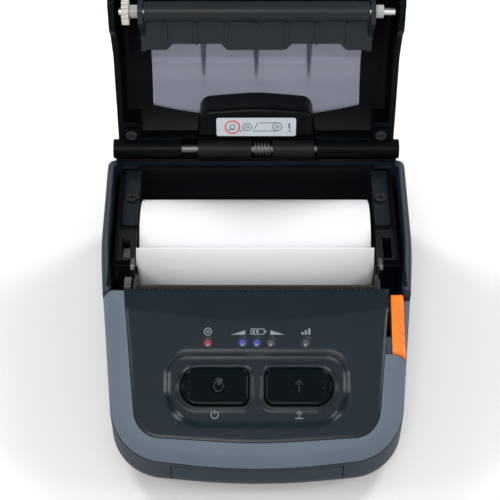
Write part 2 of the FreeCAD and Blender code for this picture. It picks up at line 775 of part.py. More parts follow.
save("head_springs", both(leaf))

# Gear train on the left: platen gear, drive gear, idler and motor pinion
DRIVE_Y = PLATEN_Y
DRIVE_Z = PLATEN_Z - MODULE * (PLATEN_TEETH + DRIVE_TEETH) / 2
reach_idler = MODULE * (DRIVE_TEETH + IDLER_TEETH) / 2
reach_pinion = MODULE * (IDLER_TEETH + PINION_TEETH) / 2
run_y = MOTOR_Y - DRIVE_Y
run_z = MOTOR_Z - DRIVE_Z
run = math.hypot(run_y, run_z)
along = (reach_idler ** 2 - reach_pinion ** 2 + run ** 2) / (2 * run)
across = math.sqrt(reach_idler ** 2 - along ** 2)
IDLER_Y = DRIVE_Y + (run_y * along - run_z * across) / run
IDLER_Z = DRIVE_Z + (run_z * along + run_y * across) / run


def involute(angle):
    return math.tan(angle) - angle


def half_tooth(radius, pitch_r, base_r, teeth):
    spread = involute(math.acos(min(1.0, base_r / radius)))
    return math.pi / (2 * teeth) - BACKLASH / (2 * pitch_r) + involute(PRESSURE) - spread


def gear(teeth, y, z, phase, bore):
    pitch_r = MODULE * teeth / 2
    base_r = pitch_r * math.cos(PRESSURE)
    tip_r = pitch_r + ADDENDUM
    root_r = pitch_r - DEDENDUM
    start_r = max(base_r, root_r)
    middle_r = (start_r + tip_r) / 2

    def at(radius, angle):
        return V(GEAR_X0, y + radius * math.cos(angle), z + radius * math.sin(angle))

    edges = []
    for i in range(teeth):
        centre = phase + 2 * math.pi * i / teeth
        beyond = phase + 2 * math.pi * (i + 1) / teeth
        low = half_tooth(start_r, pitch_r, base_r, teeth)
        mid = half_tooth(middle_r, pitch_r, base_r, teeth)
        top = half_tooth(tip_r, pitch_r, base_r, teeth)
        if start_r > root_r:
            edges.append(Part.makeLine(at(root_r, centre - low), at(start_r, centre - low)))
        edges.append(
            Part.Arc(
                at(start_r, centre - low), at(middle_r, centre - mid), at(tip_r, centre - top),
            ).toShape()
        )
        edges.append(Part.makeLine(at(tip_r, centre - top), at(tip_r, centre + top)))
        edges.append(
            Part.Arc(
                at(tip_r, centre + top), at(middle_r, centre + mid), at(start_r, centre + low),
            ).toShape()
        )
        if start_r > root_r:
            edges.append(Part.makeLine(at(start_r, centre + low), at(root_r, centre + low)))
        edges.append(Part.makeLine(at(root_r, centre + low), at(root_r, beyond - low)))
    body = Part.Face(Part.Wire(edges)).extrude(V(GEAR_X1 - GEAR_X0, 0, 0))
    return body.cut(rod_x(bore, GEAR_X0 - 1, GEAR_X1 + 1, y, z))


def meshed(phase, teeth, y, z, other_teeth, other_y, other_z):
    """Phase of the second gear so that its gaps meet the first gear's teeth."""
    bearing = math.atan2(other_z - z, other_y - y)
    part_turn = (bearing - phase) * teeth / (2 * math.pi)
    return bearing + math.pi - (2 * math.pi / other_teeth) * (0.5 - part_turn)


platen_phase = 0.0
drive_phase = meshed(platen_phase, PLATEN_TEETH, PLATEN_Y, PLATEN_Z, DRIVE_TEETH, DRIVE_Y, DRIVE_Z)
idler_phase = meshed(drive_phase, DRIVE_TEETH, DRIVE_Y, DRIVE_Z, IDLER_TEETH, IDLER_Y, IDLER_Z)
pinion_phase = meshed(idler_phase, IDLER_TEETH, IDLER_Y, IDLER_Z, PINION_TEETH, MOTOR_Y, MOTOR_Z)
save("platen_gear", [opened(gear(PLATEN_TEETH, PLATEN_Y, PLATEN_Z, platen_phase, JOURNAL_R))])
save("drive_gear", [gear(DRIVE_TEETH, DRIVE_Y, DRIVE_Z, drive_phase, AXLE_R + RUNNING)])
save("idler_gear", [gear(IDLER_TEETH, IDLER_Y, IDLER_Z, idler_phase, AXLE_R + RUNNING)])
MOTOR_SHAFT_R = 0.75
MOTOR_LENGTH = 10.4
MOTOR_BORE_END = 3.9 - SIDE_IN
pinion = gear(PINION_TEETH, MOTOR_Y, MOTOR_Z, pinion_phase, MOTOR_SHAFT_R / 2)
save(
    "motor_pinion",
    [join([pinion, rod_x(MOTOR_SHAFT_R, GEAR_X0 - 0.4, MOTOR_BORE_END - 0.5, MOTOR_Y, MOTOR_Z)])],
)
motor = rod_x(MOTOR_R, -SIDE_IN, MOTOR_LENGTH - SIDE_IN, MOTOR_Y, MOTOR_Z)
motor_boss = rod_x(2.0, -SIDE_OUT, -SIDE_IN, MOTOR_Y, MOTOR_Z)
motor = join([motor, motor_boss]).cut(
    rod_x(MOTOR_SHAFT_R + RUNNING, -80, MOTOR_BORE_END, MOTOR_Y, MOTOR_Z)
)
save("stepper_motor", [motor])


def axle(y, z):
    pin = rod_x(AXLE_R, GEAR_X0 - 0.8, -SIDE_OUT, y, z)
    collar_piece = rod_x(1.6, GEAR_X1 + 0.2, -SIDE_OUT, y, z)
    cap = rod_x(1.6, GEAR_X0 - 0.8, GEAR_X0 - 0.2, y, z)
    return join([pin, collar_piece, cap])


save("gear_axles", [axle(DRIVE_Y, DRIVE_Z), axle(IDLER_Y, IDLER_Z)])

# Latch: cross shaft with two hooks, and the lever with its leg and finger grip
hook = slab_x(
    [
        (LATCH_Y - 2.4, LATCH_Z - 2.4, 2.3),
        (3.0, LATCH_Z - 2.0, 1),
        (3.0, 42.2, 1),
        (-0.6, 42.2, 0.8),
        (-1.9, 40.6, 0.2),
        (0.3, 40.6, 0.3),
        (0.3, LATCH_Z + 2.4, 1),
        (LATCH_Y - 2.4, LATCH_Z + 2.4, 2.3),
    ],
    HOOK_IN,
    HOOK_OUT,
)
hooks = [h.cut(rod_x(LATCH_R, -60, 60, LATCH_Y, LATCH_Z)) for h in both(hook)]
save("latch_hooks", hooks)
save("latch_shaft", [rod_x(LATCH_R, -HOOK_OUT, LEG_OUT, LATCH_Y, LATCH_Z)])
lip_slope = (RIM_Z - CREASE_Z) / (TEAR_Y - CREASE_Y)
lever_top_rear = CREASE_Z + lip_slope * (LEVER_REAR - CREASE_Y) - LEVER_SUNK
lever_top_front = panel_z(LEVER_FRONT) - LEVER_SUNK
grip = slab_x(
    [
        (LEVER_FRONT, seam_z(LEVER_FRONT) + LEVER_SEAT, 0),
        (LEVER_REAR, seam_z(LEVER_REAR) + LEVER_SEAT, 0),
        (LEVER_REAR, lever_top_rear, 1.2),
        (LEVER_FRONT, lever_top_front, 2.0),
    ],
    LEVER_IN,
    LEVER_OUT,
)
lever_tilt = math.degrees(math.atan2(lever_top_rear - lever_top_front, LEVER_REAR - LEVER_FRONT))
edge_tool = block(-LEVER_ROUND, 3, -40, 10, -LEVER_ROUND, 4)
edge_rod = Part.makeCylinder(LEVER_ROUND, 60, V(-LEVER_ROUND, -45, -LEVER_ROUND), V(0, 1, 0))
edge_tool = edge_tool.cut(edge_rod).rotated(V(0, 0, 0), V(1, 0, 0), lever_tilt)
grip = grip.cut(edge_tool.translated(V(LEVER_OUT, LEVER_REAR, lever_top_rear)))
notches = []
for i in range(NOTCH_COUNT):
    notch_y = NOTCH_REAR - i * NOTCH_PITCH
    post = Part.makeLine(V(LEVER_OUT - 1.0, notch_y, 0), V(LEVER_OUT - 1.0, notch_y, 60)).common(grip)
    ahead = V(1, 0, -1.0)
    ahead.normalize()
    start = V(LEVER_OUT - 1.0, notch_y, post.BoundBox.ZMax + NOTCH_R - NOTCH_DEPTH) - ahead * 4
    notches.append(Part.makeCylinder(NOTCH_R, 9, start, ahead))
grip = grip.cut(notches)
leg = slab_x(
    [
        (LATCH_Y + 2.4, LATCH_Z - 2.4, 2.3),
        (LATCH_Y + 2.4, LATCH_Z + 2.4, 2.3),
        (-13.6, 38.5, 1),
        (-20, 36, 1),
        (-20, 32.5, 1),
        (LATCH_Y - 2.6, LATCH_Z - 2.4, 2.3),
    ],
    LEVER_IN,
    LEG_OUT,
)
leg = leg.cut(rod_x(LATCH_R, -60, 60, LATCH_Y, LATCH_Z))
lever = join([grip, leg])
save("release_lever", [lever])

# Boards, chips, sensor, sockets and contacts inside the case
main_board = block(-26, 27, -38, -16.6, 18, 19.4)
save("main_board", [main_board])
chips = [
    block(-6, 6, -30, -20, 19.4, 20.6),
    block(12, 17, -28, -22, 19.4, 20.5),
    block(-20, -12, -26, -19, 19.4, 20.8),
]
save("board_chips", chips)
FRONT_WALL_Y = BAY_Y - BAY_R - LINER
save(
    "paper_sensor",
    [block(6, 13, FRONT_WALL_Y - 2.8, FRONT_WALL_Y, FRONT_WALL_Z - 4.4, FRONT_WALL_Z - 0.4)],
)
jack = block(
    -SIDE_WALL_X, JACK_LENGTH - SIDE_WALL_X, JACK_Y - 4.5, JACK_Y + 4.5, JACK_Z - 4.5, JACK_Z + 4.5,
)
jack = jack.cut(rod_x(2.8, -SIDE_WALL_X - 5, JACK_LENGTH - 1.4 - SIDE_WALL_X, JACK_Y, JACK_Z))
jack = join([jack, rod_x(0.8, 0.7 - SIDE_WALL_X, JACK_LENGTH - 1.4 - SIDE_WALL_X, JACK_Y, JACK_Z)])
save("dc_jack", [jack])
usb = block(-SIDE_WALL_X - 1.8, 6.2 - SIDE_WALL_X, USB_Y - 4.2, USB_Y + 4.2, USB_Z - 1.6, USB_Z + 1.6)
usb = usb.cut(
    block(-SIDE_WALL_X - 9, 5.2 - SIDE_WALL_X, USB_Y - 3.8, USB_Y + 3.8, USB_Z - 1.2, USB_Z + 1.2)
)
usb = join(
    [usb, block(-SIDE_WALL_X - 0.3, 5.2 - SIDE_WALL_X, USB_Y - 3, USB_Y + 3, USB_Z - 0.3, USB_Z + 0.3)]
)
save("usb_socket", [usb])
contacts = [
    join([
        block(x - 1.2, x + 1.2, PACK_REAR, PACK_REAR + 2, 5, 10),
        block(x - 1.2, x + 1.2, PACK_REAR + 2, PACK_REAR + 2.6, 5, 13),
    ])
    for x in CONTACT_XS
]
save("battery_contacts", contacts)
insert = rod_z(CLIP_R, 0.2, CLIP_TOP, 0, CLIP_Y).cut(rod_z(CLIP_BORE_R, -1, 7, 0, CLIP_Y))
save("clip_insert", [insert])
screws = []
for x, y in SCREW_PLACES:
    screw = join([rod_z(2.4, 0.3, 1.3, x, y), rod_z(1.1, 1.3, 8, x, y)])
    screw = screw.cut(
        [
            block(x - 1.5, x + 1.5, y - 0.3, y + 0.3, 0, 0.8),
            block(x - 0.3, x + 0.3, y - 1.5, y + 1.5, 0, 0.8),
        ]
    )
    screws.append(screw)
save("case_screws", screws)

# Battery pack: case with its outer face in the chin, and a cell inside
pack = front_form.common(block(-PACK_HALF, PACK_HALF, -80, PACK_REAR, -1, PACK_TOP))
cell_room = block(
    -PACK_HALF + PACK_WALL,
    PACK_HALF - PACK_WALL,
    CELL_FRONT,
    PACK_REAR - PACK_WALL,
    PACK_WALL,
    PACK_TOP - PACK_WALL,
)
save("battery_case", [pack.cut(cell_room)])
cell_half = PACK_HALF - PACK_WALL - CELL_GAP
cell_front = CELL_FRONT + CELL_GAP
cell_rear = PACK_REAR - PACK_WALL - CELL_GAP
cell = slab_z(
    [
        (cell_half, cell_front, 3),
        (cell_half, cell_rear, 3),
        (-cell_half, cell_rear, 3),
        (-cell_half, cell_front, 3),
    ],
    PACK_WALL,
    PACK_TOP - PACK_WALL - CELL_GAP,
)
save("battery_cell", [cell])

# Paper roll, its core and the loose outer turn
ROLL_Y = BAY_Y
ROLL_Z = trough_low + ROLL_LIFT + ROLL_R
roll = rod_x(ROLL_R, ROLL_LEFT, ROLL_RIGHT, ROLL_Y, ROLL_Z).cut(rod_x(TUBE_R, -60, 60, ROLL_Y, ROLL_Z))
save("paper_roll", [roll])
tube = rod_x(TUBE_R, ROLL_LEFT, ROLL_RIGHT, ROLL_Y, ROLL_Z).cut(
    rod_x(TUBE_R - TUBE_WALL, -60, 60, ROLL_Y, ROLL_Z)
)
save("paper_core", [tube])
wrap_r = ROLL_R + TAIL_GAP + TAIL_THICK / 2


def polar(centre, radius, degrees):
    return centre + V(0, math.cos(math.radians(degrees)), math.sin(math.radians(degrees))) * radius


wrap_c = V(0, ROLL_Y, ROLL_Z)
sweep_c = polar(polar(wrap_c, wrap_r, TAIL_LEAVE), -TAIL_SWEEP_R, TAIL_LEAVE)
curl_c = sweep_c + V(0, TAIL_CURL_R - TAIL_SWEEP_R, 0)
stretches = [
    (wrap_c, wrap_r, TAIL_START, TAIL_LEAVE),
    (sweep_c, TAIL_SWEEP_R, TAIL_LEAVE, 180.0),
    (curl_c, TAIL_CURL_R, 180.0, TAIL_END),
]


def tail_arcs(offset):
    arcs = []
    for centre, radius, first, last in stretches:
        points = [polar(centre, radius + offset, a) for a in (first, (first + last) / 2, last)]
        arcs.append(Part.Arc(points[0], points[1], points[2]).toShape())
    return arcs


outside = tail_arcs(TAIL_THICK / 2)
inside = tail_arcs(-TAIL_THICK / 2)
start_edge = Part.makeLine(
    polar(wrap_c, wrap_r - TAIL_THICK / 2, TAIL_START), polar(wrap_c, wrap_r + TAIL_THICK / 2, TAIL_START),
)
end_edge = Part.makeLine(
    polar(curl_c, TAIL_CURL_R - TAIL_THICK / 2, TAIL_END),
    polar(curl_c, TAIL_CURL_R + TAIL_THICK / 2, TAIL_END),
)
tail_wire = Part.Wire(Part.__sortEdges__(outside + inside + [start_edge, end_edge]))
tail = Part.Face(tail_wire).extrude(V(ROLL_RIGHT - ROLL_LEFT, 0, 0))
tail.translate(V(ROLL_LEFT, 0, 0))
save("paper_tail", [tail])

# Hinge: bracket on the case, steel pin, coiled spring round the pin
web_room = slab_x(
    [
        (RIM_END_Y - 20, RIM_Z + 20 * SHOULDER_SLOPE, 0),
        (REAR_Y + 20, RIM_Z - shoulder_drop, 0),
        (REAR_Y + 20, -30, 0),
        (RIM_END_Y - 20, -30, 0),
    ],
    -80,
    80,
)
bracket_web = slab_x(
    [(51.6, 36.6, 0), (54.6, 33.0, 0), (56.0, 38.5, 1), (56.0, 42.0, 0), (50.2, 42.0, 0)],
    -BRACKET_HALF,
    BRACKET_HALF,
)
bracket_web = bracket_web.cut(web_room)
barrels = [
    rod_x(BARREL_R - 0.1, -BRACKET_HALF, SPRING_X0, HINGE_Y, HINGE_Z),
    rod_x(BARREL_R - 0.1, SPRING_X1, BRACKET_HALF, HINGE_Y, HINGE_Z),
]
cradle = slab_x(
    [(49.9, 30, 0), (56.0, 30, 0), (56.0, 39.2, 0.4), (49.9, 41, 0)], BRACKET_HALF, CRADLE_END,
)
cradle = cradle.cut([web_room, rod_x(BARREL_R + CRADLE_GAP, 0, 80, HINGE_Y, HINGE_Z)])
bracket = join([bracket_web] + both(cradle) + barrels)
dimples = []
for i in range(8):
    dimples.append(Part.makeCylinder(0.6, 2.6, V(5.0 * i - 17.5, 49.6, 38.4), V(0, 1, 0)))
bracket = bracket.cut(dimples)
spring_room = rod_x(BARREL_R + 0.2, SPRING_X0, SPRING_X1, HINGE_Y, HINGE_Z)
bracket = bracket.cut([spring_room, rod_x(PIN_R, -60, 60, HINGE_Y, HINGE_Z)])
save("hinge_bracket", [bracket])
save("hinge_pin", [rod_x(PIN_R, -KNUCKLE_END + 1, KNUCKLE_END - 1, HINGE_Y, HINGE_Z)])


def biarc(p0, t0, p1, t1):
    """Two tangent arcs from p0 along t0 to p1 along t1."""
    span = p1 - p0
    turn = 2 * (1 - t0.dot(t1))
    lean = 2 * span.dot(t0 + t1)
    reach = (-lean + math.sqrt(lean ** 2 + 4 * turn * span.dot(span))) / (2 * turn)
    q0 = p0 + t0 * reach
    q1 = p1 - t1 * reach
    joint = (q0 + q1) * 0.5
    edges = []
    for first, corner, last in ((p0, q0, joint), (joint, q1, p1)):
        chord_mid = (first + last) * 0.5
        inward = chord_mid - corner
        depth = inward.Length
        half = (last - first).Length / 2
        radius = half * reach / depth
        inward.normalize()
        arc_mid = corner + inward * (math.hypot(radius, reach) - radius)
        edges.append(Part.Arc(first, arc_mid, last).toShape())
    return edges


coil_x = (SPRING_X0 + SPRING_X1 - SPRING_PITCH * SPRING_TURNS) / 2
coil_angle0 = math.radians(-60)


def coil_point(turn):
    angle = coil_angle0 + 2 * math.pi * turn
    return V(
        coil_x + SPRING_PITCH * turn,
        HINGE_Y + SPRING_R * math.cos(angle),
        HINGE_Z + SPRING_R * math.sin(angle),
    )


def coil_tangent(turn):
    angle = coil_angle0 + 2 * math.pi * turn
    ahead = V(SPRING_PITCH / (2 * math.pi), -SPRING_R * math.sin(angle), SPRING_R * math.cos(angle))
    ahead.normalize()
    return ahead


coil_edges = [Part.makeLine(coil_point(0) - coil_tangent(0) * SPRING_WIRE, coil_point(0))]
quarters = SPRING_TURNS * 4
for i in range(quarters):
    coil_edges.extend(
        biarc(coil_point(i / 4), coil_tangent(i / 4), coil_point((i + 1) / 4), coil_tangent((i + 1) / 4))
    )
coil_edges.append(
    Part.makeLine(
        coil_point(SPRING_TURNS), coil_point(SPRING_TURNS) + coil_tangent(SPRING_TURNS) * SPRING_WIRE,
    )
)
coil_start = coil_edges[0].valueAt(coil_edges[0].FirstParameter)
ring = Part.Wire(Part.makeCircle(SPRING_WIRE / 2, coil_start, coil_tangent(0)))
coil = Part.Wire(coil_edges).makePipeShell([ring], True, False)
least = min(
    (
        coil_point(a / 40) - coil_point(a / 40 + 1 + b / 40)
    ).Length for a in range(200) for b in range(-10, 11)
)
print("least gap of the spring to itself", round(least - SPRING_WIRE, 3))
save("hinge_spring", [coil])

# Lid: domed shell with cheeks and hinge knuckles, window, sensor cover, label
def dome(inset, low):
    a = V(0, LID_FRONT_Y + 0.5 + inset, LID_FRONT_Z - inset)
    b = V(0, LID_CROWN_Y, LID_CROWN_Z - inset)
    c = V(0, LID_REAR_Y, LID_REAR_Z - inset)
    foot_a = V(0, LID_FRONT_Y + inset, low)
    foot_c = V(0, LID_REAR_Y, low)
    wire = Part.Wire(
        [
            Part.Arc(a, b, c).toShape(),
            Part.makeLine(c, foot_c),
            Part.makeLine(foot_c, foot_a),
            Part.makeLine(foot_a, a),
        ]
    )
    half = LID_HALF - inset
    face = Part.Face(wire)
    face.translate(V(-half, 0, 0))
    return face.extrude(V(2 * half, 0, 0))


lid_form = dome(0, LID_EDGE_Z)
crown_edges = []
for edge in lid_form.Edges:
    middle = edge.valueAt((edge.FirstParameter + edge.LastParameter) / 2)
    if abs(abs(middle.x) - LID_HALF) < 1e-4 and middle.z > 50:
        crown_edges.append(edge)
lid_form = lid_form.makeFillet(4.5, crown_edges)
lid_room = dome(LID_WALL, 30)
room_edges = []
for edge in lid_room.Edges:
    middle = edge.valueAt((edge.FirstParameter + edge.LastParameter) / 2)
    if abs(abs(middle.x) - LID_HALF + LID_WALL) < 1e-4 and middle.z > 50:
        room_edges.append(edge)
lid_room = lid_room.makeFillet(2.5, room_edges)


def window_prism(grow):
    w = WINDOW_HALF + grow
    y0 = WINDOW_FRONT_Y - grow
    y1 = WINDOW_REAR_Y + grow
    edges = [
        Part.makeLine(V(-w, y0, 30), V(w, y0, 30)),
        Part.makeLine(V(w, y0, 30), V(w, y1, 30)),
        Part.Arc(V(w, y1, 30), V(0, y1 + WINDOW_SAG, 30), V(-w, y1, 30)).toShape(),
        Part.makeLine(V(-w, y1, 30), V(-w, y0, 30)),
    ]
    return Part.Face(Part.Wire(edges)).extrude(V(0, 0, 40))


cheek = slab_x(
    [
        (-8.4, CHEEK_Z, 2.5),
        (2.8, CHEEK_Z, 4),
        (6.5, CHEEK_Z + 3.6, 4),
        (17.0, LID_EDGE_Z + 0.2, 0),
        (-8.4, LID_EDGE_Z + 0.2, 0),
    ],
    LID_HALF - LID_WALL,
    LID_HALF,
)
hinge_block = block(
    LID_HALF - 7.6, LID_HALF - LID_WALL, 42.6, 51.0, LID_EDGE_Z, LID_CROWN_Z,
).common(lid_room)
hinge_block = hinge_block.cut(block(0, LID_HALF, 44.3, 45.1, LID_EDGE_Z, LID_EDGE_Z + 1.2))
shell = lid_form.cut(lid_room)
knuckle_left = rod_x(BARREL_R, -KNUCKLE_END, KNUCKLE_LEFT, HINGE_Y, HINGE_Z)
knuckle_right = rod_x(BARREL_R, KNUCKLE_RIGHT, KNUCKLE_END, HINGE_Y, HINGE_Z)
web_left = block(-LID_HALF, KNUCKLE_LEFT, 49.6, LID_REAR_Y, HINGE_Z, LID_REAR_Z - 1)
web_right = block(KNUCKLE_RIGHT, LID_HALF, 49.6, LID_REAR_Y, HINGE_Z, LID_REAR_Z - 1)
rear_band = block(
    -LID_HALF, LID_HALF, COVER_REAR + 0.2, LID_REAR_Y, LID_EDGE_Z, LID_REAR_Z,
).common(lid_form)
shell = join(
    [shell, rear_band, knuckle_left, knuckle_right, web_left, web_right] + both(cheek) + both(hinge_block)
)
shell = shell.cut(
    [
        window_prism(FIT_GAP),
        rod_x(PIN_R + RUNNING, -60, 60, HINGE_Y, HINGE_Z),
        rod_x(BARREL_R + 0.5, KNUCKLE_LEFT, KNUCKLE_RIGHT, HINGE_Y, HINGE_Z),
    ]
)
LID_SCREW_X = LID_HALF - 4.6
LID_SCREW_Y = 47.4
shell = shell.cut(both(rod_z(0.9, 30, 47, LID_SCREW_X, LID_SCREW_Y)))
shell = max(shell.Solids, key=lambda s: s.Volume)
save("lid_shell", [opened(shell)])
lid_screw = join(
    [
        rod_z(1.9, LID_EDGE_Z - 0.8, LID_EDGE_Z, LID_SCREW_X, LID_SCREW_Y),
        rod_z(0.9, LID_EDGE_Z, 46.8, LID_SCREW_X, LID_SCREW_Y),
    ]
)
lid_screw = lid_screw.cut(
    block(
        LID_SCREW_X - 1.3, LID_SCREW_X + 1.3, LID_SCREW_Y - 0.3, LID_SCREW_Y + 0.3, 41, LID_EDGE_Z - 0.4,
    )
)
save("lid_screws", [opened(s) for s in both(lid_screw)])
window = lid_form.cut(lid_room).common(window_prism(0))
window_ribs = []
for x in (-18.5, 0.0, 18.5):
    fin = Part.Face(
        Part.makePolygon(
            [
                V(x - 0.5, 14, 49),
                V(x + 0.5, 14, 49),
                V(x + 0.2, 34, 49),
                V(x - 0.2, 34, 49),
                V(x - 0.5, 14, 49),
            ]
        )
    )
    fin = fin.extrude(V(0, 0, 12)).common(lid_room)
    window_ribs.append(fin.cut(dome(LID_WALL + 1.0, 30)))
window = join([window] + window_ribs)
save("lid_window", [opened(window)])

# Sensor cover in the middle of the lid by the hinge, and the plain label on it
cover_block = slab_z(
    [
        (COVER_HALF, COVER_REAR, 1),
        (-COVER_HALF, COVER_REAR, 1),
        (-COVER_HALF + 1.5, COVER_FRONT, 4),
        (0, COVER_FRONT - COVER_CROWN, 60),
        (COVER_HALF - 1.5, COVER_FRONT, 4),
    ],
    COVER_FACE_Z,
    60,
)
face_edges = [
    e for e in cover_block.Edges if all(abs(v.Point.z - COVER_FACE_Z) < 1e-6 for v in e.Vertexes)
]
cover_block = cover_block.makeFillet(1.6, face_edges)
cover_block = cover_block.common(lid_room).cut([rear_band, window])
cover_hollow = slab_z(
    [
        (COVER_HALF - 2, COVER_REAR - 2, 1),
        (2 - COVER_HALF, COVER_REAR - 2, 1),
        (4 - COVER_HALF, COVER_FRONT + 2.5, 2),
        (COVER_HALF - 4, COVER_FRONT + 2.5, 2),
    ],
    COVER_FACE_Z + 2,
    70,
)
cover_block = cover_block.cut(cover_hollow)
cover_block = max(cover_block.Solids, key=lambda s: s.Volume)
save("sensor_cover", [opened(cover_block)])
LABEL_HALF = 14.0
LABEL_Y0 = 40.6
LABEL_Y1 = 48.0
label = slab_z(
    [
        (LABEL_HALF, LABEL_Y0, 0.8),
        (LABEL_HALF, LABEL_Y1, 0.8),
        (-LABEL_HALF, LABEL_Y1, 0.8),
        (-LABEL_HALF, LABEL_Y0, 0.8),
    ],
    COVER_FACE_Z - 0.15,
    COVER_FACE_Z,
)
save("lid_label", [opened(label)])

# Roller bracket: ribbed paper guide with two arms that carry the platen
GUIDE_Z = 43.4
guide = slab_z(
    [
        (ARM_OUT, 3.4, 0),
        (ARM_OUT, 14.5, 1),
        (30.3, 14.5, 0),
        (28.3, 12.2, 0),
        (12.0, 12.2, 0),
        (10.0, 14.5, 0),
        (-10.0, 14.5, 0),
        (-12.0, 12.2, 0),
        (-28.3, 12.2, 0),
        (-30.3, 14.5, 0),
        (-ARM_OUT, 14.5, 1),
        (-ARM_OUT, 3.4, 0),
    ],
    GUIDE_Z,
    GUIDE_Z + 1.6,
)
RIB_XS = [-30.6, -20.3, -10.1, 10.1, 20.3, 30.6]
guide_ribs = [block(x - 0.5, x + 0.5, 3.8, 12.0, GUIDE_Z - 1.0, GUIDE_Z) for x in RIB_XS]
guide_ribs.append(block(-0.5, 0.5, 3.8, 6.5, GUIDE_Z - 1.0, GUIDE_Z))
arm = slab_x(
    [
        (PLATEN_Y - 3.0, PLATEN_Z - 3.0, 2.9),
        (PLATEN_Y + 3.2, PLATEN_Z - 3.0, 2.5),
        (9.0, GUIDE_Z, 2),
        (15.0, GUIDE_Z, 0),
        (15.0, 60, 0),
        (2.0, 60, 0),
        (PLATEN_Y - 3.0, 44.0, 2),
    ],
    ARM_IN,
    ARM_OUT,
).common(lid_room)
roller_bracket = join([guide] + guide_ribs + both(arm)).cut(rod_x(BUSH_R, -60, 60, PLATEN_Y, PLATEN_Z))
roller_bracket = max(roller_bracket.Solids, key=lambda s: s.Volume)
save("roller_bracket", [opened(roller_bracket)])
bush = rod_x(BUSH_R, ARM_IN, BUSH_END, PLATEN_Y, PLATEN_Z).cut(
    rod_x(JOURNAL_R + RUNNING, -60, 60, PLATEN_Y, PLATEN_Z)
)
save("platen_bushings", [opened(b) for b in both(bush)])

# Platen: stepped shaft and rubber sleeve
shaft = join([
    rod_x(CORE_R, -RUBBER_HALF, RUBBER_HALF, PLATEN_Y, PLATEN_Z),
    rod_x(JOURNAL_R, GEAR_X0 - 1.0, BUSH_END + 3.8, PLATEN_Y, PLATEN_Z),
])
save("platen_shaft", [opened(shaft)])
rubber = rod_x(
    RUBBER_R, -RUBBER_HALF, RUBBER_HALF, PLATEN_Y, PLATEN_Z,
).cut(rod_x(CORE_R, -60, 60, PLATEN_Y, PLATEN_Z))
save("platen_rubber", [opened(rubber)])
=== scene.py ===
import json
import math

import bpy
from mathutils import Matrix, Vector

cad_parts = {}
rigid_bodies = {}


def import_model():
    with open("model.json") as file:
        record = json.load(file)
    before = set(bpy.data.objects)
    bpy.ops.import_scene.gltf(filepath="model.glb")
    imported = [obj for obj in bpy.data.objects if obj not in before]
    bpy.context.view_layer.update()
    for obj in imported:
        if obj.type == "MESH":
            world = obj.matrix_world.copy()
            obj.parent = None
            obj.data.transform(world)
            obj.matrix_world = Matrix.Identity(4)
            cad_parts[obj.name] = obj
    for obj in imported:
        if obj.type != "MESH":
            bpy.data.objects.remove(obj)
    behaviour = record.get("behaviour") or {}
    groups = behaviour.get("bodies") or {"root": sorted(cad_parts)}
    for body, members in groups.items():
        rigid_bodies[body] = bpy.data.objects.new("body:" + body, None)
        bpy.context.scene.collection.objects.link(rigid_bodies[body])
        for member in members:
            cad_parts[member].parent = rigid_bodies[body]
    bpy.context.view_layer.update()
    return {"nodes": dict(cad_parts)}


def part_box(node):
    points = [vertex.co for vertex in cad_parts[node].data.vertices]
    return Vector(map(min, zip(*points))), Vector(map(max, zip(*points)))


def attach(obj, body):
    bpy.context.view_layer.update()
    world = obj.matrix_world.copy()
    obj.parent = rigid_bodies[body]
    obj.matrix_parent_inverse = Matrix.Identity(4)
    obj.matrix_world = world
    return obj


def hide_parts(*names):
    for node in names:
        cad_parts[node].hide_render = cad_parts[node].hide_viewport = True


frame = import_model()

MM = 0.001
TURN = 2 * math.pi
ORIGIN = (0, 0, 0)

# How round moulded edges look, how near points are welded, and which edges are smoothed over
EDGE = 0.3 * MM
WELD = 0.002 * MM
SMOOTH_ANGLE = math.radians(35)

# The sloping key panel: its crease line and its slope, as the case has them
CREASE_Y = -21.0 * MM
CREASE_Z = 39.0 * MM
PANEL_ANGLE = math.radians(25.24)
RECESS_DEPTH = 1.6 * MM

# Printed marks lie on a face; the raised signs on the key caps start a little below it
MARK_THICK = 0.04 * MM
ARROW_SINK = 0.12 * MM
ARROW_THICK = 0.14 * MM
RING_SINK = 0.45 * MM
RING_THICK = 0.25 * MM

# Where the marks lie and how wide their lines are, in millimetres on their own plane
SIGN_X = 15.7
SIGN_Y = -3.7
SIGN_RADIUS = 1.15
WEDGE_Y = -4.0
GAUGE_X = 0.2
KEY_X = 13.4
DISH_X = -12.2
SKETCH_Y = 0.1
PRINT_LINE = 0.3
FINE_LINE = 0.28
RAISED_LINE = 0.4
SKETCH_LINE = 0.25

# The lid: its hinge line, how far it stands open, and the middle of its label when it is shut
HINGE_Y = 53.0 * MM
HINGE_Z = 42.0 * MM
LID_TURN = math.radians(103.5)
LABEL_Y = 44.3 * MM
LABEL_Z = 42.35 * MM

# The lid's window: the pale line across it, a painted reflection, and the ribs on it, which widen
# upwards and carry painted shade. An edge is how far from the middle a line starts and ends to fade
REFLECTION_STRIPE_Z = 66.4 * MM
REFLECTION_STRIPE_EDGE = (0.6 * MM, 1.6 * MM)
RIB_XS = (-18.5 * MM, 0.0, 18.5 * MM)
RIB_EDGE = (0.3 * MM, 0.8 * MM)
RIB_WIDENING = 0.5 * MM
RIB_FOOT_Z = 59.0 * MM
RIB_FULL_Z = 63.0 * MM
RIB_TOP_Z = 76.0 * MM

# The paper roll, and how closely the rings on its ends follow: radians of wave to the metre
ROLL_LOW, ROLL_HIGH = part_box("paper_roll")
ROLL_AXIS = ((ROLL_LOW.y + ROLL_HIGH.y) / 2, (ROLL_LOW.z + ROLL_HIGH.z) / 2)
ROLL_RADIUS = (ROLL_HIGH.z - ROLL_LOW.z) / 2
RING_WAVES = 42000.0

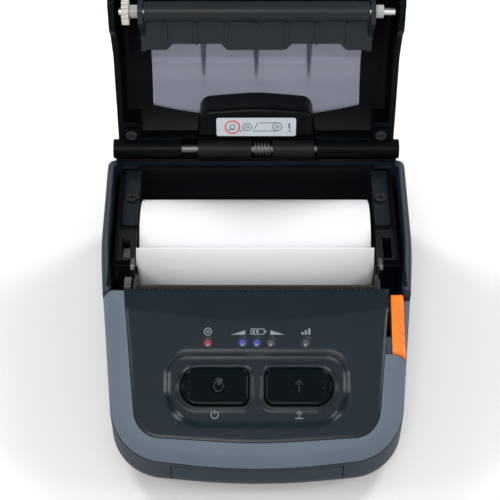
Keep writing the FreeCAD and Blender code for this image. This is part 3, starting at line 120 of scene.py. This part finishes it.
# The loose end of the paper: where it leaves the roll and how it curls
TAIL_THICK = 0.2 * MM
TAIL_GAP = 0.3 * MM
TAIL_START = 242.0
TAIL_LEAVE = 232.0
TAIL_END = 130.0
TAIL_SWEEP_R = 31.0 * MM
TAIL_CURL_R = 12.0 * MM
SHEET_THICK = 0.12 * MM
RIPPLE_HEIGHT = 0.2 * MM
RIPPLE_SPAN = 30.0 * MM

# The camera stands in front of the printer and looks down at it
CAMERA_PLACE = (-2.2 * MM, -277.0 * MM, 379.2 * MM)
CAMERA_DOWN = math.radians(50.0)
CAMERA_LENS = 95.26

# Lamps in metres and watts: name, place, width, power, and whether gloss mirrors it
LAMP_AIM = Vector((0, 0, 0.03))
LAMPS = (
    ("key_lamp", (-0.1, -0.75, 0.95), 0.5, 4.8, True),
    ("top_lamp", (0.0, 0.1, 1.1), 0.6, 1.5, False),
    ("left_lamp", (-0.7, -0.1, 0.45), 0.14, 1.0, True),
    ("right_lamp", (0.7, -0.1, 0.45), 0.14, 1.2, True),
    ("rear_left_lamp", (-0.5, 0.5, 0.6), 0.25, 3.3, True),
    ("rear_right_lamp", (0.5, 0.5, 0.6), 0.25, 3.3, True),
)

# The floor and the room. A glow is where it starts and ends to change, and its level there:
# outwards over the floor in metres, and from the front of the room to its back
FLOOR_WIDTH = 8.0
FLOOR_DROP = 0.2 * MM
FLOOR_GREY = (0.76, 0.76, 0.76)
FLOOR_DARKER = (0.75, 0.75, 0.75)
FLOOR_PALER = (0.77, 0.77, 0.77)
# Painted shadow: the floor's glow stays low close to the printer, so the floor is darker around it.
PAINTED_SHADOW_GLOW = (0.07, 0.15, 0.02, 0.25)
FAR_GLOW = (0.2, 1.5, 0.0, 0.75)
ROOM_GLOW = (-0.3, 0.2, 0.6, 0.15)


class Socket:
    """A value on its way through a node tree; sums and products on it add Math nodes."""

    def __init__(self, nodes, out):
        self.nodes = nodes
        self.out = out

    def __add__(self, other):
        return self.nodes.maths("ADD", self, other)

    __radd__ = __add__

    def __sub__(self, other):
        return self.nodes.maths("SUBTRACT", self, other)

    def __rsub__(self, other):
        return self.nodes.maths("SUBTRACT", other, self)

    def __mul__(self, other):
        return self.nodes.maths("MULTIPLY", self, other)

    __rmul__ = __mul__


class Nodes:
    """A node tree to which nodes are added one at a time."""

    def __init__(self, tree):
        self.tree = tree

    def node(self, kind, settings, inputs, output=0):
        made = self.tree.nodes.new(kind)
        for key, value in settings.items():
            setattr(made, key, value)
        for key, value in inputs.items():
            self.feed(made.inputs[key], value)
        return Socket(self, made.outputs[output])

    def feed(self, socket, value):
        if isinstance(value, Socket):
            self.tree.links.new(value.out, socket)
        else:
            socket.default_value = value

    def maths(self, operation, first, second):
        return self.node("ShaderNodeMath", {"operation": operation}, {0: first, 1: second})

    def vectors(self, operation, inputs, output=0):
        return self.node("ShaderNodeVectorMath", {"operation": operation}, inputs, output)

    def ramp(self, value, start, end, low, high):
        return self.node(
            "ShaderNodeMapRange",
            {"interpolation_type": "SMOOTHSTEP"},
            {"Value": value, "From Min": start, "From Max": end, "To Min": low, "To Max": high},
        )


class Finish(Nodes):
    """One material: a Principled shader and the nodes that feed it."""

    def __init__(self, name, colour, rough, metal=0.0):
        self.material = bpy.data.materials.new(name)
        self.material.use_nodes = True
        super().__init__(self.material.node_tree)
        self.shader = self.tree.nodes["Principled BSDF"]
        self.set({"Base Color": (*colour, 1.0), "Roughness": rough, "Metallic": metal})
        self.place = self.node("ShaderNodeTexCoord", {}, {}, "Object")

    def set(self, values):
        for key, value in values.items():
            self.feed(self.shader.inputs[key], value)

    def along(self, axis):
        return self.node("ShaderNodeSeparateXYZ", {}, {0: self.place}, axis)

    def apart(self, value, centre):
        return self.maths("ABSOLUTE", value - centre, 0.0)

    def noise(self, scale, detail, stretch=None):
        place = self.place
        if stretch is not None:
            place = self.node("ShaderNodeMapping", {}, {"Vector": place, "Scale": stretch})
        inputs = {"Vector": place, "Scale": scale, "Detail": detail}
        return self.node("ShaderNodeTexNoise", {}, inputs, "Fac")

    def mix(self, share, first, second):
        return self.node(
            "ShaderNodeMix", {"data_type": "RGBA"}, {0: share, 6: first, 7: second}, 2
        )

    def tint(self, share, first, second):
        self.set({"Base Color": self.mix(share, (*first, 1.0), (*second, 1.0))})

    def bump(self, height, strength, distance, edge=0.0):
        inputs = {"Height": height, "Strength": strength, "Distance": distance}
        if edge:
            inputs["Normal"] = self.node("ShaderNodeBevel", {"samples": 6}, {"Radius": edge})
        self.set({"Normal": self.node("ShaderNodeBump", {}, inputs)})


def shade(colour, factor):
    return tuple(min(1.0, part * factor) for part in colour)


def grained_plastic(name, colour, rough, grain=0.25, scale=2600.0, shine=0.5):
    """Moulded plastic with a fine spark-eroded grain."""
    finish = Finish(name, colour, rough)
    speck = finish.noise(scale, detail=2.0)
    cloud = finish.noise(scale=45.0, detail=2.0)
    finish.tint(cloud, shade(colour, 0.9), shade(colour, 1.12))
    finish.set({"Roughness": rough - 0.06 + 0.12 * cloud, "Specular IOR Level": shine})
    finish.bump(speck, strength=grain, distance=0.06 * MM, edge=EDGE)
    return finish


def polished_plastic(name, colour, rough, shine=0.5, edge=EDGE):
    """Smooth plastic with a faint unevenness in its gloss; edge is how round its edges look."""
    finish = Finish(name, colour, rough)
    cloud = finish.noise(scale=60.0, detail=3.0)
    swell = finish.noise(scale=140.0, detail=1.0)
    finish.tint(cloud, shade(colour, 0.92), shade(colour, 1.1))
    finish.set({"Roughness": rough - 0.03 + 0.06 * cloud, "Specular IOR Level": shine})
    finish.bump(swell, strength=0.04, distance=0.2 * MM, edge=edge)
    return finish


def lid_plastic(name, colour):
    """Dull black plastic inside the lid, lacquered on the side that is outside when shut."""
    finish = polished_plastic(name, colour, rough=0.34, shine=0.06)
    facing = finish.node("ShaderNodeTexCoord", {}, {}, "Normal")
    rearward = finish.node("ShaderNodeSeparateXYZ", {}, {0: facing}, "Y")
    lacquer = finish.ramp(rearward, start=0.1, end=0.4, low=0.0, high=0.7)
    finish.set({"Coat Weight": lacquer, "Coat Roughness": 0.16})
    return finish


def bare_metal(name, colour, rough):
    """Ground or stamped metal with lines along its length."""
    finish = Finish(name, colour, rough, metal=1.0)
    lines = finish.noise(scale=260.0, detail=4.0, stretch=(1.0, 12.0, 12.0))
    finish.tint(lines, shade(colour, 0.82), shade(colour, 1.1))
    finish.set({"Roughness": rough - 0.08 + 0.16 * lines})
    finish.bump(lines, strength=0.05, distance=0.1 * MM)
    return finish


def thermal_paper(name, colour, depth, wound):
    """Smooth white paper; depth is how far light soaks in, and a wound roll shows its turns."""
    finish = Finish(name, colour, rough=0.55)
    fibre = finish.noise(scale=900.0, detail=4.0)
    if wound:
        moved = finish.vectors("SUBTRACT", {0: finish.place, 1: (0.0, *ROLL_AXIS)})
        flat = finish.vectors("MULTIPLY", {0: moved, 1: (0.0, 1.0, 1.0)})
        radius = finish.vectors("LENGTH", {0: flat}, "Value")
        turns = finish.maths("SINE", radius * RING_WAVES, 0.0)
        finish.tint(0.5 + 0.5 * turns, shade(colour, 0.93), colour)
    else:
        cloud = finish.noise(scale=35.0, detail=2.0)
        finish.tint(cloud, shade(colour, 0.985), colour)
    finish.set({
        "Roughness": 0.5 + 0.1 * fibre,
        "Specular IOR Level": 0.3,
        "Subsurface Weight": depth,
        "Subsurface Scale": 3.0 * MM,
        "Subsurface Radius": (1.0, 1.0, 1.0),
    })
    finish.bump(fibre, strength=0.05, distance=0.05 * MM)
    return finish


def smoky_window(name, colour):
    """Tinted clear plastic with a painted reflection, a paler line across it, and painted shade
    along its ribs.
    """
    finish = Finish(name, colour, rough=0.12)
    cloud = finish.noise(scale=40.0, detail=2.0)
    across = finish.along("X")
    height = finish.along("Z")
    # Painted reflection: a paler line across the window at one height.
    painted_reflection = finish.ramp(finish.apart(height, REFLECTION_STRIPE_Z), *REFLECTION_STRIPE_EDGE, low=1.0, high=0.0)
    widening = finish.ramp(height, RIB_FOOT_Z, RIB_TOP_Z, low=0.0, high=1.0) * RIB_WIDENING
    # Painted shade: darker and less clear along the ribs, wider towards their tops and fading in at
    # their feet.
    rib_shade = 0.0
    for rib_x in RIB_XS:
        away = finish.apart(across, rib_x) - widening
        rib_shade = finish.ramp(away, *RIB_EDGE, low=1.0, high=0.0) + rib_shade
    rib_shade = rib_shade * finish.ramp(height, RIB_FOOT_Z, RIB_FULL_Z, low=0.0, high=1.0)
    tint_and_reflection = finish.mix(painted_reflection, (*colour, 1.0), (*shade(colour, 1.3), 1.0))
    finish.set({
        "Base Color": finish.mix(rib_shade * 0.8, tint_and_reflection, (*shade(colour, 0.2), 1.0)),
        "Alpha": 0.72 + 0.06 * cloud + 0.18 * rib_shade,
        "Roughness": 0.1 + 0.06 * cloud,
    })
    return finish


def circuit_board(name, colour):
    """Lacquered board with a dim trace pattern."""
    finish = Finish(name, colour, rough=0.35)
    inputs = {"Vector": finish.place, "Scale": 260.0}
    trace = finish.node("ShaderNodeTexBrick", {}, inputs, "Fac")
    finish.tint(trace, colour, shade(colour, 1.7))
    return finish


def lit_lens(name, colour, glow):
    """A light pipe; glow is how strongly it shines."""
    finish = Finish(name, colour, rough=0.2)
    cloud = finish.noise(scale=700.0, detail=1.0)
    finish.tint(cloud, shade(colour, 0.85), shade(colour, 1.15))
    finish.set({"Emission Color": (*colour, 1.0), "Emission Strength": glow})
    return finish


def printed_ink(name, colour):
    """Ink of a mark or pictogram, and also the dull label and the card core of the roll."""
    finish = Finish(name, colour, rough=0.5)
    fleck = finish.noise(scale=900.0, detail=2.0)
    finish.tint(fleck, shade(colour, 0.9), shade(colour, 1.05))
    return finish


CASE_SLATE = (0.013, 0.0235, 0.0355)
BAND_SLATE = (0.097, 0.125, 0.16)
GUIDE_SLATE = (0.011, 0.018, 0.023)
PANEL_BLACK = (0.0085, 0.0145, 0.02)
KEY_BLACK = (0.001, 0.003, 0.0045)
SIGN_SHEEN_BLACK = (0.004, 0.007, 0.009)
LID_BLACK = (0.0015, 0.003, 0.004)
BAY_BLACK = (0.004, 0.005, 0.007)
PLATE_BLACK = (0.0065, 0.0115, 0.0155)
RUBBER_BLACK = (0.008, 0.012, 0.015)

case_finish = grained_plastic("case_slate", CASE_SLATE, 0.5, shine=0.25)
band_finish = grained_plastic("band_slate", BAND_SLATE, 0.62, 0.35, scale=3200.0, shine=0.35)
panel_finish = polished_plastic("panel_black", PANEL_BLACK, 0.14, shine=0.32, edge=1.8 * MM)
key_finish = polished_plastic("key_black", KEY_BLACK, 0.1, shine=0.09, edge=0.9 * MM)
# Painted sheen: the raised signs are a lighter black than the key caps, so they stand out as
# glints; their higher shine is real gloss.
sign_sheen_finish = polished_plastic("sign_sheen_black", SIGN_SHEEN_BLACK, 0.12, edge=0.1 * MM)
lid_finish = lid_plastic("lid_black", LID_BLACK)
cover_finish = polished_plastic("cover_black", LID_BLACK, 0.3, shine=0.08)
guide_finish = grained_plastic("guide_slate", GUIDE_SLATE, 0.38, grain=0.15, shine=0.25)
bay_finish = grained_plastic("bay_black", BAY_BLACK, 0.45, grain=0.2, shine=0.2)
plate_finish = grained_plastic("bay_plate", PLATE_BLACK, 0.5, grain=0.2, shine=0.2)
lever_finish = polished_plastic("lever_orange", (1.0, 0.2, 0.015), 0.22)
window_finish = smoky_window("window_smoke", (0.2, 0.215, 0.3))
paper_finish = thermal_paper("paper_white", (0.93, 0.94, 0.955), depth=0.5, wound=False)
roll_finish = thermal_paper("roll_white", (0.9, 0.915, 0.935), depth=0.3, wound=True)
core_finish = printed_ink("core_board", (0.42, 0.33, 0.22))
rubber_finish = grained_plastic("roller_rubber", RUBBER_BLACK, 0.42, 0.15, scale=1800.0, shine=0.25)
ivory_finish = grained_plastic("gear_ivory", (0.62, 0.6, 0.52), 0.45, grain=0.1)
bush_finish = grained_plastic("bush_grey", (0.34, 0.35, 0.36), 0.4, grain=0.1)
train_finish = grained_plastic("gear_grey", (0.16, 0.16, 0.15), 0.45, grain=0.1)
steel_finish = bare_metal("ground_steel", (0.62, 0.63, 0.65), 0.3)
dark_steel_finish = bare_metal("dark_screw_steel", (0.16, 0.16, 0.17), 0.38)
dull_steel_finish = bare_metal("dull_steel", (0.22, 0.22, 0.22), 0.5)
blade_finish = bare_metal("blade_steel", (0.06, 0.062, 0.066), 0.5)
zinc_finish = bare_metal("zinc_plate", (0.4, 0.41, 0.43), 0.42)
aluminium_finish = bare_metal("sink_aluminium", (0.6, 0.61, 0.63), 0.4)
brass_finish = bare_metal("insert_brass", (0.72, 0.52, 0.22), 0.32)
ceramic_finish = polished_plastic("head_glaze", (0.03, 0.028, 0.026), 0.3, shine=0.25)
board_finish = circuit_board("board_green", (0.02, 0.09, 0.045))
chip_finish = grained_plastic("chip_black", (0.018, 0.018, 0.02), 0.55)
label_finish = printed_ink("label_white", (0.6, 0.65, 0.7))
mark_finish = printed_ink("mark_grey", (0.2, 0.228, 0.25))
mark_red_finish = printed_ink("mark_red", (0.7, 0.08, 0.06))
mark_dark_finish = printed_ink("mark_dark", (0.06, 0.065, 0.075))
red_lens_finish = lit_lens("lens_red", (0.22, 0.036, 0.055), glow=0.1)
blue_lens_finish = lit_lens("lens_blue", (0.045, 0.06, 0.24), glow=0.15)
clear_lens_finish = lit_lens("lens_clear", (0.055, 0.062, 0.07), glow=0.0)

NODE_FINISH = {
    "lower_case": case_finish,
    "battery_case": case_finish,
    "bumper_band": band_finish,
    "front_panel": panel_finish,
    "power_button": key_finish,
    "feed_button": key_finish,
    "bay_liner": bay_finish,
    "bay_cover_left": plate_finish,
    "bay_cover_right": plate_finish,
    "pocket_frame_left": bay_finish,
    "pocket_frame_right": bay_finish,
    "hinge_bracket": bay_finish,
    "paper_sensor": chip_finish,
    "dc_jack": chip_finish,
    "board_chips": chip_finish,
    "tact_switches": chip_finish,
    "bay_cover_screws": blade_finish,
    "case_screws": dark_steel_finish,
    "lid_screws": blade_finish,
    "cover_switch": steel_finish,
    "mech_frame": blade_finish,
    "stepper_motor": zinc_finish,
    "latch_hooks": dark_steel_finish,
    "print_head": ceramic_finish,
    "head_heatsink": aluminium_finish,
    "battery_cell": aluminium_finish,
    "head_springs": steel_finish,
    "tear_bar": blade_finish,
    "gear_axles": steel_finish,
    "hinge_pin": dull_steel_finish,
    "hinge_spring": dull_steel_finish,
    "usb_socket": steel_finish,
    "latch_shaft": steel_finish,
    "platen_shaft": steel_finish,
    "main_board": board_finish,
    "button_board": board_finish,
    "battery_contacts": brass_finish,
    "clip_insert": brass_finish,
    "lens_error": red_lens_finish,
    "lens_battery": blue_lens_finish,
    "lens_unlit": clear_lens_finish,
    "paper_tail": paper_finish,
    "paper_roll": roll_finish,
    "paper_core": core_finish,
    "release_lever": lever_finish,
    "motor_pinion": train_finish,
    "idler_gear": train_finish,
    "drive_gear": train_finish,
    "platen_gear": ivory_finish,
    "platen_bushings": bush_finish,
    "platen_rubber": rubber_finish,
    "lid_shell": lid_finish,
    "sensor_cover": cover_finish,
    "roller_bracket": guide_finish,
    "lid_window": window_finish,
    "lid_label": label_finish,
}
for node_name, finish in NODE_FINISH.items():
    piece = frame["nodes"][node_name]
    piece.data.materials.clear()
    piece.data.materials.append(finish.material)


def fresh_mesh(name, finish):
    """A unit plane of that name, open for editing and selected all over."""
    bpy.ops.object.select_all(action="DESELECT")
    bpy.ops.mesh.primitive_plane_add(size=1.0)
    piece = bpy.context.object
    piece.name = name
    piece.data.name = name
    piece.data.materials.append(finish.material)
    bpy.ops.object.mode_set(mode="EDIT")
    bpy.ops.mesh.select_all(action="SELECT")
    return piece


def weld_mesh():
    """Merge doubled points, turn the faces outwards and leave edit mode."""
    bpy.ops.mesh.select_all(action="SELECT")
    bpy.ops.mesh.remove_doubles(threshold=WELD)
    bpy.ops.mesh.normals_make_consistent(inside=False)
    bpy.ops.object.mode_set(mode="OBJECT")


def smooth_mesh():
    """Weld the mesh and smooth it between its sharp edges."""
    weld_mesh()
    bpy.ops.object.shade_smooth_by_angle(angle=SMOOTH_ANGLE)


def on_circle(centre, radius, degrees):
    """The point on a circle seen from the side, as its y and z."""
    turn = math.radians(degrees)
    return (centre[0] + radius * math.cos(turn), centre[1] + radius * math.sin(turn))


def wound_roll():
    """The roll as one turned profile; its end faces step in and out with the turns."""
    roll = fresh_mesh("wound_roll", roll_finish)
    bpy.ops.mesh.merge(type="CENTER")
    core_low, core_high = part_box("paper_core")
    bore = (core_high.z - core_low.z) / 2
    easing = 0.25 * MM
    depth = 0.1 * MM
    turns = 20
    pitch = (ROLL_RADIUS - easing - bore) / turns
    length = ROLL_HIGH.x - ROLL_LOW.x
    start = (ROLL_LOW.x + depth, ROLL_AXIS[0], ROLL_AXIS[1] + bore)
    bpy.ops.transform.translate(value=start)
    weave = [depth if turn % 2 else -depth for turn in range(turns)]
    steps = [(step, 0, pitch) for step in weave]
    steps.append((easing - depth, 0, easing))
    steps.append((length - 2 * easing, 0, 0))
    steps.append((easing - depth, 0, -easing))
    steps.extend((step, 0, -pitch) for step in weave)
    for step in steps:
        bpy.ops.mesh.extrude_region_move(TRANSFORM_OT_translate={"value": step})
    bpy.ops.mesh.select_all(action="SELECT")
    bpy.ops.mesh.spin(steps=120, angle=TURN, center=(0, *ROLL_AXIS), axis=(1, 0, 0))
    smooth_mesh()
    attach(roll, "roll")
    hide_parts("paper_roll")


def loose_end():
    """The outer turn of paper: it leaves the roll low in front and curls up in front of it."""
    low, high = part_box("paper_tail")
    sheet = fresh_mesh("loose_end", paper_finish)
    bpy.ops.transform.resize(value=(high.x - low.x, 0, 1), center_override=ORIGIN)
    bpy.ops.mesh.remove_doubles(threshold=WELD)
    bpy.ops.mesh.subdivide(number_cuts=40)
    round_roll = ROLL_RADIUS + TAIL_GAP + TAIL_THICK / 2
    start = on_circle(ROLL_AXIS, round_roll, TAIL_START)
    leave = on_circle(ROLL_AXIS, round_roll, TAIL_LEAVE)
    sweep = on_circle(leave, -TAIL_SWEEP_R, TAIL_LEAVE)
    curl = (sweep[0] + TAIL_CURL_R - TAIL_SWEEP_R, sweep[1])
    bpy.ops.transform.translate(value=((low.x + high.x) / 2, *start))
    bends = (
        (ROLL_AXIS, TAIL_START - TAIL_LEAVE),
        (sweep, TAIL_LEAVE - 180),
        (curl, 180 - TAIL_END),
    )
    for centre, turn in bends:
        bpy.ops.mesh.spin(
            steps=max(4, int(turn / 2)),
            angle=math.radians(turn),
            center=(0, *centre),
            axis=(1, 0, 0),
        )
    smooth_mesh()
    wave = bpy.data.textures.new("paper_wave", "CLOUDS")
    wave.noise_scale = RIPPLE_SPAN
    ripple = sheet.modifiers.new("ripple", "DISPLACE")
    ripple.texture = wave
    ripple.texture_coords = "LOCAL"
    ripple.strength = RIPPLE_HEIGHT
    wall = sheet.modifiers.new("wall", "SOLIDIFY")
    wall.thickness = SHEET_THICK
    wall.offset = 0.0
    for modifier in ("ripple", "wall"):
        bpy.ops.object.modifier_apply(modifier=modifier)
    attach(sheet, "base")
    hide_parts("paper_tail")


wound_roll()
loose_end()


class Mark:
    """A printed or raised mark: strokes, arcs and wedges in millimetres on a plane of its own."""

    def __init__(self, name, finish, place, body, thick=MARK_THICK):
        self.piece = fresh_mesh(name, finish)
        self.place = place
        self.body = body
        self.thick = thick
        bpy.ops.mesh.delete(type="VERT")

    def plate(self, length, width):
        bpy.ops.mesh.select_all(action="DESELECT")
        bpy.ops.mesh.primitive_plane_add(size=1.0)
        bpy.ops.transform.resize(value=(length * MM, width * MM, 1), center_override=ORIGIN)

    def settle(self, x, y, turn):
        bpy.ops.transform.rotate(value=-turn, orient_axis="Z", center_override=ORIGIN)
        bpy.ops.transform.translate(value=(x * MM, y * MM, 0))

    def raise_up(self):
        rise = {"value": (0, 0, self.thick)}
        bpy.ops.mesh.extrude_region_move(TRANSFORM_OT_translate=rise)

    def stroke(self, x, y, length, width, turn=0.0):
        self.plate(length, width)
        self.settle(x, y, turn)
        self.raise_up()

    def wedge(self, x, y, length, height, rise):
        self.plate(length, height)
        slope = Vector((-rise * height, length, 0)).normalized()
        bpy.ops.mesh.bisect(plane_co=ORIGIN, plane_no=slope, clear_outer=True)
        bpy.ops.mesh.select_linked()
        self.settle(x, y, 0.0)
        self.raise_up()

    def arc(self, x, y, radius, width, start=0.0, sweep=TURN):
        bpy.ops.mesh.select_all(action="DESELECT")
        bpy.ops.mesh.primitive_plane_add(size=1.0, rotation=(math.pi / 2, 0, 0))
        bpy.ops.transform.resize(value=(width * MM, 1, self.thick), center_override=ORIGIN)
        bpy.ops.transform.translate(value=(radius * MM, 0, self.thick / 2))
        self.settle(x, y, start)
        bpy.ops.mesh.spin(
            steps=max(6, int(sweep * 8)),
            angle=-sweep,
            center=(x * MM, y * MM, 0),
            axis=(0, 0, 1),
        )

    def done(self):
        weld_mesh()
        self.piece.matrix_world = self.place
        bpy.ops.object.transform_apply(location=True, rotation=True, scale=True)
        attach(self.piece, self.body)


def below(place, depth):
    return place @ Matrix.Translation((0, 0, -depth))


PANEL_PLACE = Matrix.Translation((0, CREASE_Y, CREASE_Z)) @ Matrix.Rotation(PANEL_ANGLE, 4, "X")
LABEL_PLACE = (
    Matrix.Translation((0, HINGE_Y, HINGE_Z))
    @ Matrix.Rotation(-LID_TURN, 4, "X")
    @ Matrix.Translation((0, LABEL_Y - HINGE_Y, LABEL_Z - HINGE_Z))
    @ Matrix.Rotation(math.pi, 4, "X")
)


def panel_marks():
    """Row of small signs over the lights: a crossed ring, a charge gauge and rising bars."""
    row = Mark("light_marks", mark_finish, PANEL_PLACE, "base")
    row.arc(-SIGN_X, SIGN_Y, SIGN_RADIUS, PRINT_LINE)
    for turn in (math.pi / 4, -math.pi / 4):
        row.stroke(-SIGN_X, SIGN_Y, length=1.3, width=FINE_LINE, turn=turn)
    row.wedge(-6.0, WEDGE_Y, length=4.6, height=1.5, rise=1)
    row.wedge(6.6, WEDGE_Y, length=4.6, height=1.5, rise=-1)
    for y in (-2.85, -4.55):
        row.stroke(GAUGE_X, y, length=4.4, width=FINE_LINE)
    for x in (-1.9, 2.3):
        row.stroke(x, SIGN_Y, length=FINE_LINE, width=1.9)
    row.stroke(2.75, SIGN_Y, length=0.5, width=0.8)
    for x in (-1.0, GAUGE_X):
        row.stroke(x, SIGN_Y, length=0.7, width=1.0)
    for x, tall in ((SIGN_X - 1.1, 0.8), (SIGN_X, 1.4), (SIGN_X + 1.1, 2.0)):
        row.stroke(x, SIGN_Y - 1.0 + tall / 2, length=0.7, width=tall)
    row.done()


def key_marks():
    """A switch sign under the left key and a feed arrow under the right one."""
    signs = Mark("key_marks", mark_finish, below(PANEL_PLACE, RECESS_DEPTH), "base")
    signs.arc(-KEY_X, -30.2, SIGN_RADIUS, PRINT_LINE, math.radians(125), math.radians(290))
    signs.stroke(-KEY_X, -29.4, length=PRINT_LINE, width=1.3)
    signs.stroke(KEY_X, -30.5, length=PRINT_LINE, width=1.4)
    signs.stroke(KEY_X - 0.4, -29.55, length=1.2, width=PRINT_LINE, turn=math.pi / 4)
    signs.stroke(KEY_X + 0.4, -29.55, length=1.2, width=PRINT_LINE, turn=-math.pi / 4)
    signs.stroke(KEY_X, -31.35, length=2.6, width=PRINT_LINE)
    signs.done()


def key_signs():
    """Raised signs on the caps: a switch ring in the left key's dish, an arrow on the right."""
    ring = Mark("power_sign", sign_sheen_finish, below(PANEL_PLACE, RING_SINK), "power_key", RING_THICK)
    ring.arc(DISH_X, -21.35, 1.45, 0.5, math.radians(120), math.radians(300))
    ring.stroke(DISH_X, -20.3, length=0.45, width=1.3)
    ring.done()
    arrow = Mark("feed_sign", sign_sheen_finish, below(PANEL_PLACE, ARROW_SINK), "feed_key", ARROW_THICK)
    arrow.stroke(KEY_X, -21.6, length=RAISED_LINE, width=3.2)
    arrow.stroke(KEY_X - 0.6, -20.2, length=1.7, width=RAISED_LINE, turn=math.radians(50))
    arrow.stroke(KEY_X + 0.6, -20.2, length=1.7, width=RAISED_LINE, turn=math.radians(-50))
    arrow.done()


def label_marks():
    """Loading sketch on the label: a small roll in a ring, and a roll with its sheet drawn out."""
    ring = Mark("label_ring", mark_red_finish, LABEL_PLACE, "lid")
    ring.arc(-8.4, 0.0, radius=2.5, width=0.5)
    ring.done()
    sketch = Mark("label_sketch", mark_dark_finish, LABEL_PLACE, "lid")
    for x, radius in ((-8.4, 0.9), (-3.2, 1.5), (-3.2, 0.5), (7.4, 1.6), (7.4, 0.5)):
        sketch.arc(x, SKETCH_Y, radius, SKETCH_LINE)
    sketch.stroke(-8.9, -1.05, length=2.2, width=SKETCH_LINE)
    sketch.stroke(-4.9, -1.4, length=2.0, width=SKETCH_LINE, turn=0.35)
    sketch.stroke(4.3, 1.75, length=6.2, width=SKETCH_LINE)
    sketch.stroke(3.0, -1.6, length=8.6, width=SKETCH_LINE)
    sketch.stroke(0.0, 0.6, length=2.9, width=SKETCH_LINE, turn=math.radians(62))
    sketch.stroke(11.6, 0.5, length=0.5, width=2.2)
    sketch.wedge(11.9, -1.4, length=0.7, height=1.0, rise=-1)
    sketch.done()


panel_marks()
key_marks()
key_signs()
label_marks()


def pale_floor():
    """A pale floor that keeps the shadow, carries a painted shadow near the printer and turns white
    away from it.
    """
    bpy.ops.object.select_all(action="DESELECT")
    bpy.ops.mesh.primitive_plane_add(size=FLOOR_WIDTH, location=(0, 0, -FLOOR_DROP))
    floor = bpy.context.object
    floor.name = "pale_floor"
    ground = Finish("floor_pale", FLOOR_GREY, rough=0.9)
    ground.tint(ground.noise(scale=6.0, detail=1.0), FLOOR_DARKER, FLOOR_PALER)
    seen = ground.node("ShaderNodeLightPath", {}, {}, "Is Camera Ray")
    clear = ground.node("ShaderNodeLightPath", {}, {}, "Is Transmission Ray")
    mirror = ground.node("ShaderNodeLightPath", {}, {}, "Is Glossy Ray")
    away = ground.vectors("LENGTH", {0: ground.place}, "Value")
    # Painted shadow near the printer, rising to white far from it.
    glow_past_painted_shadow = ground.ramp(away, *PAINTED_SHADOW_GLOW) + ground.ramp(away, *FAR_GLOW)
    glow = ground.node("ShaderNodeEmission", {}, {"Strength": (seen + clear + mirror) * glow_past_painted_shadow})
    lit = Socket(ground, ground.shader.outputs[0])
    both = ground.node("ShaderNodeAddShader", {}, {0: lit, 1: glow})
    ground.feed(ground.tree.nodes["Material Output"].inputs["Surface"], both)
    floor.data.materials.append(ground.material)


def soft_lamp(name, place, size, power, mirrored):
    lamp = bpy.data.lights.new(name, "AREA")
    lamp.shape = "DISK"
    lamp.size = size
    lamp.energy = power
    holder = bpy.data.objects.new(name, lamp)
    bpy.context.collection.objects.link(holder)
    holder.location = place
    holder.rotation_euler = (LAMP_AIM - Vector(place)).to_track_quat("-Z", "Y").to_euler()
    holder.visible_glossy = mirrored


def studio():
    """A white room that is brighter in front, with lamps before, above, beside and behind."""
    world = bpy.data.worlds.new("studio")
    bpy.context.scene.world = world
    world.use_nodes = True
    room = Nodes(world.node_tree)
    way = room.node("ShaderNodeTexCoord", {}, {}, "Generated")
    depth = room.node("ShaderNodeSeparateXYZ", {}, {0: way}, "Y")
    seen = room.node("ShaderNodeLightPath", {}, {}, "Is Camera Ray")
    glow = room.ramp(depth, *ROOM_GLOW)
    sky = room.tree.nodes["Background"]
    room.feed(sky.inputs["Color"], (1.0, 1.0, 1.0, 1.0))
    room.feed(sky.inputs["Strength"], glow * (1.0 - seen) + seen)
    for lamp in LAMPS:
        soft_lamp(*lamp)


def camera():
    lens = bpy.data.cameras.new("camera")
    lens.lens = CAMERA_LENS
    lens.sensor_width = 36.0
    lens.clip_start = 10.0 * MM
    holder = bpy.data.objects.new("camera", lens)
    bpy.context.collection.objects.link(holder)
    holder.location = CAMERA_PLACE
    holder.rotation_euler = (math.pi / 2 - CAMERA_DOWN, 0.0, 0.0)
    bpy.context.scene.camera = holder


pale_floor()
studio()
camera()
bpy.context.scene.view_settings.view_transform = "Standard"
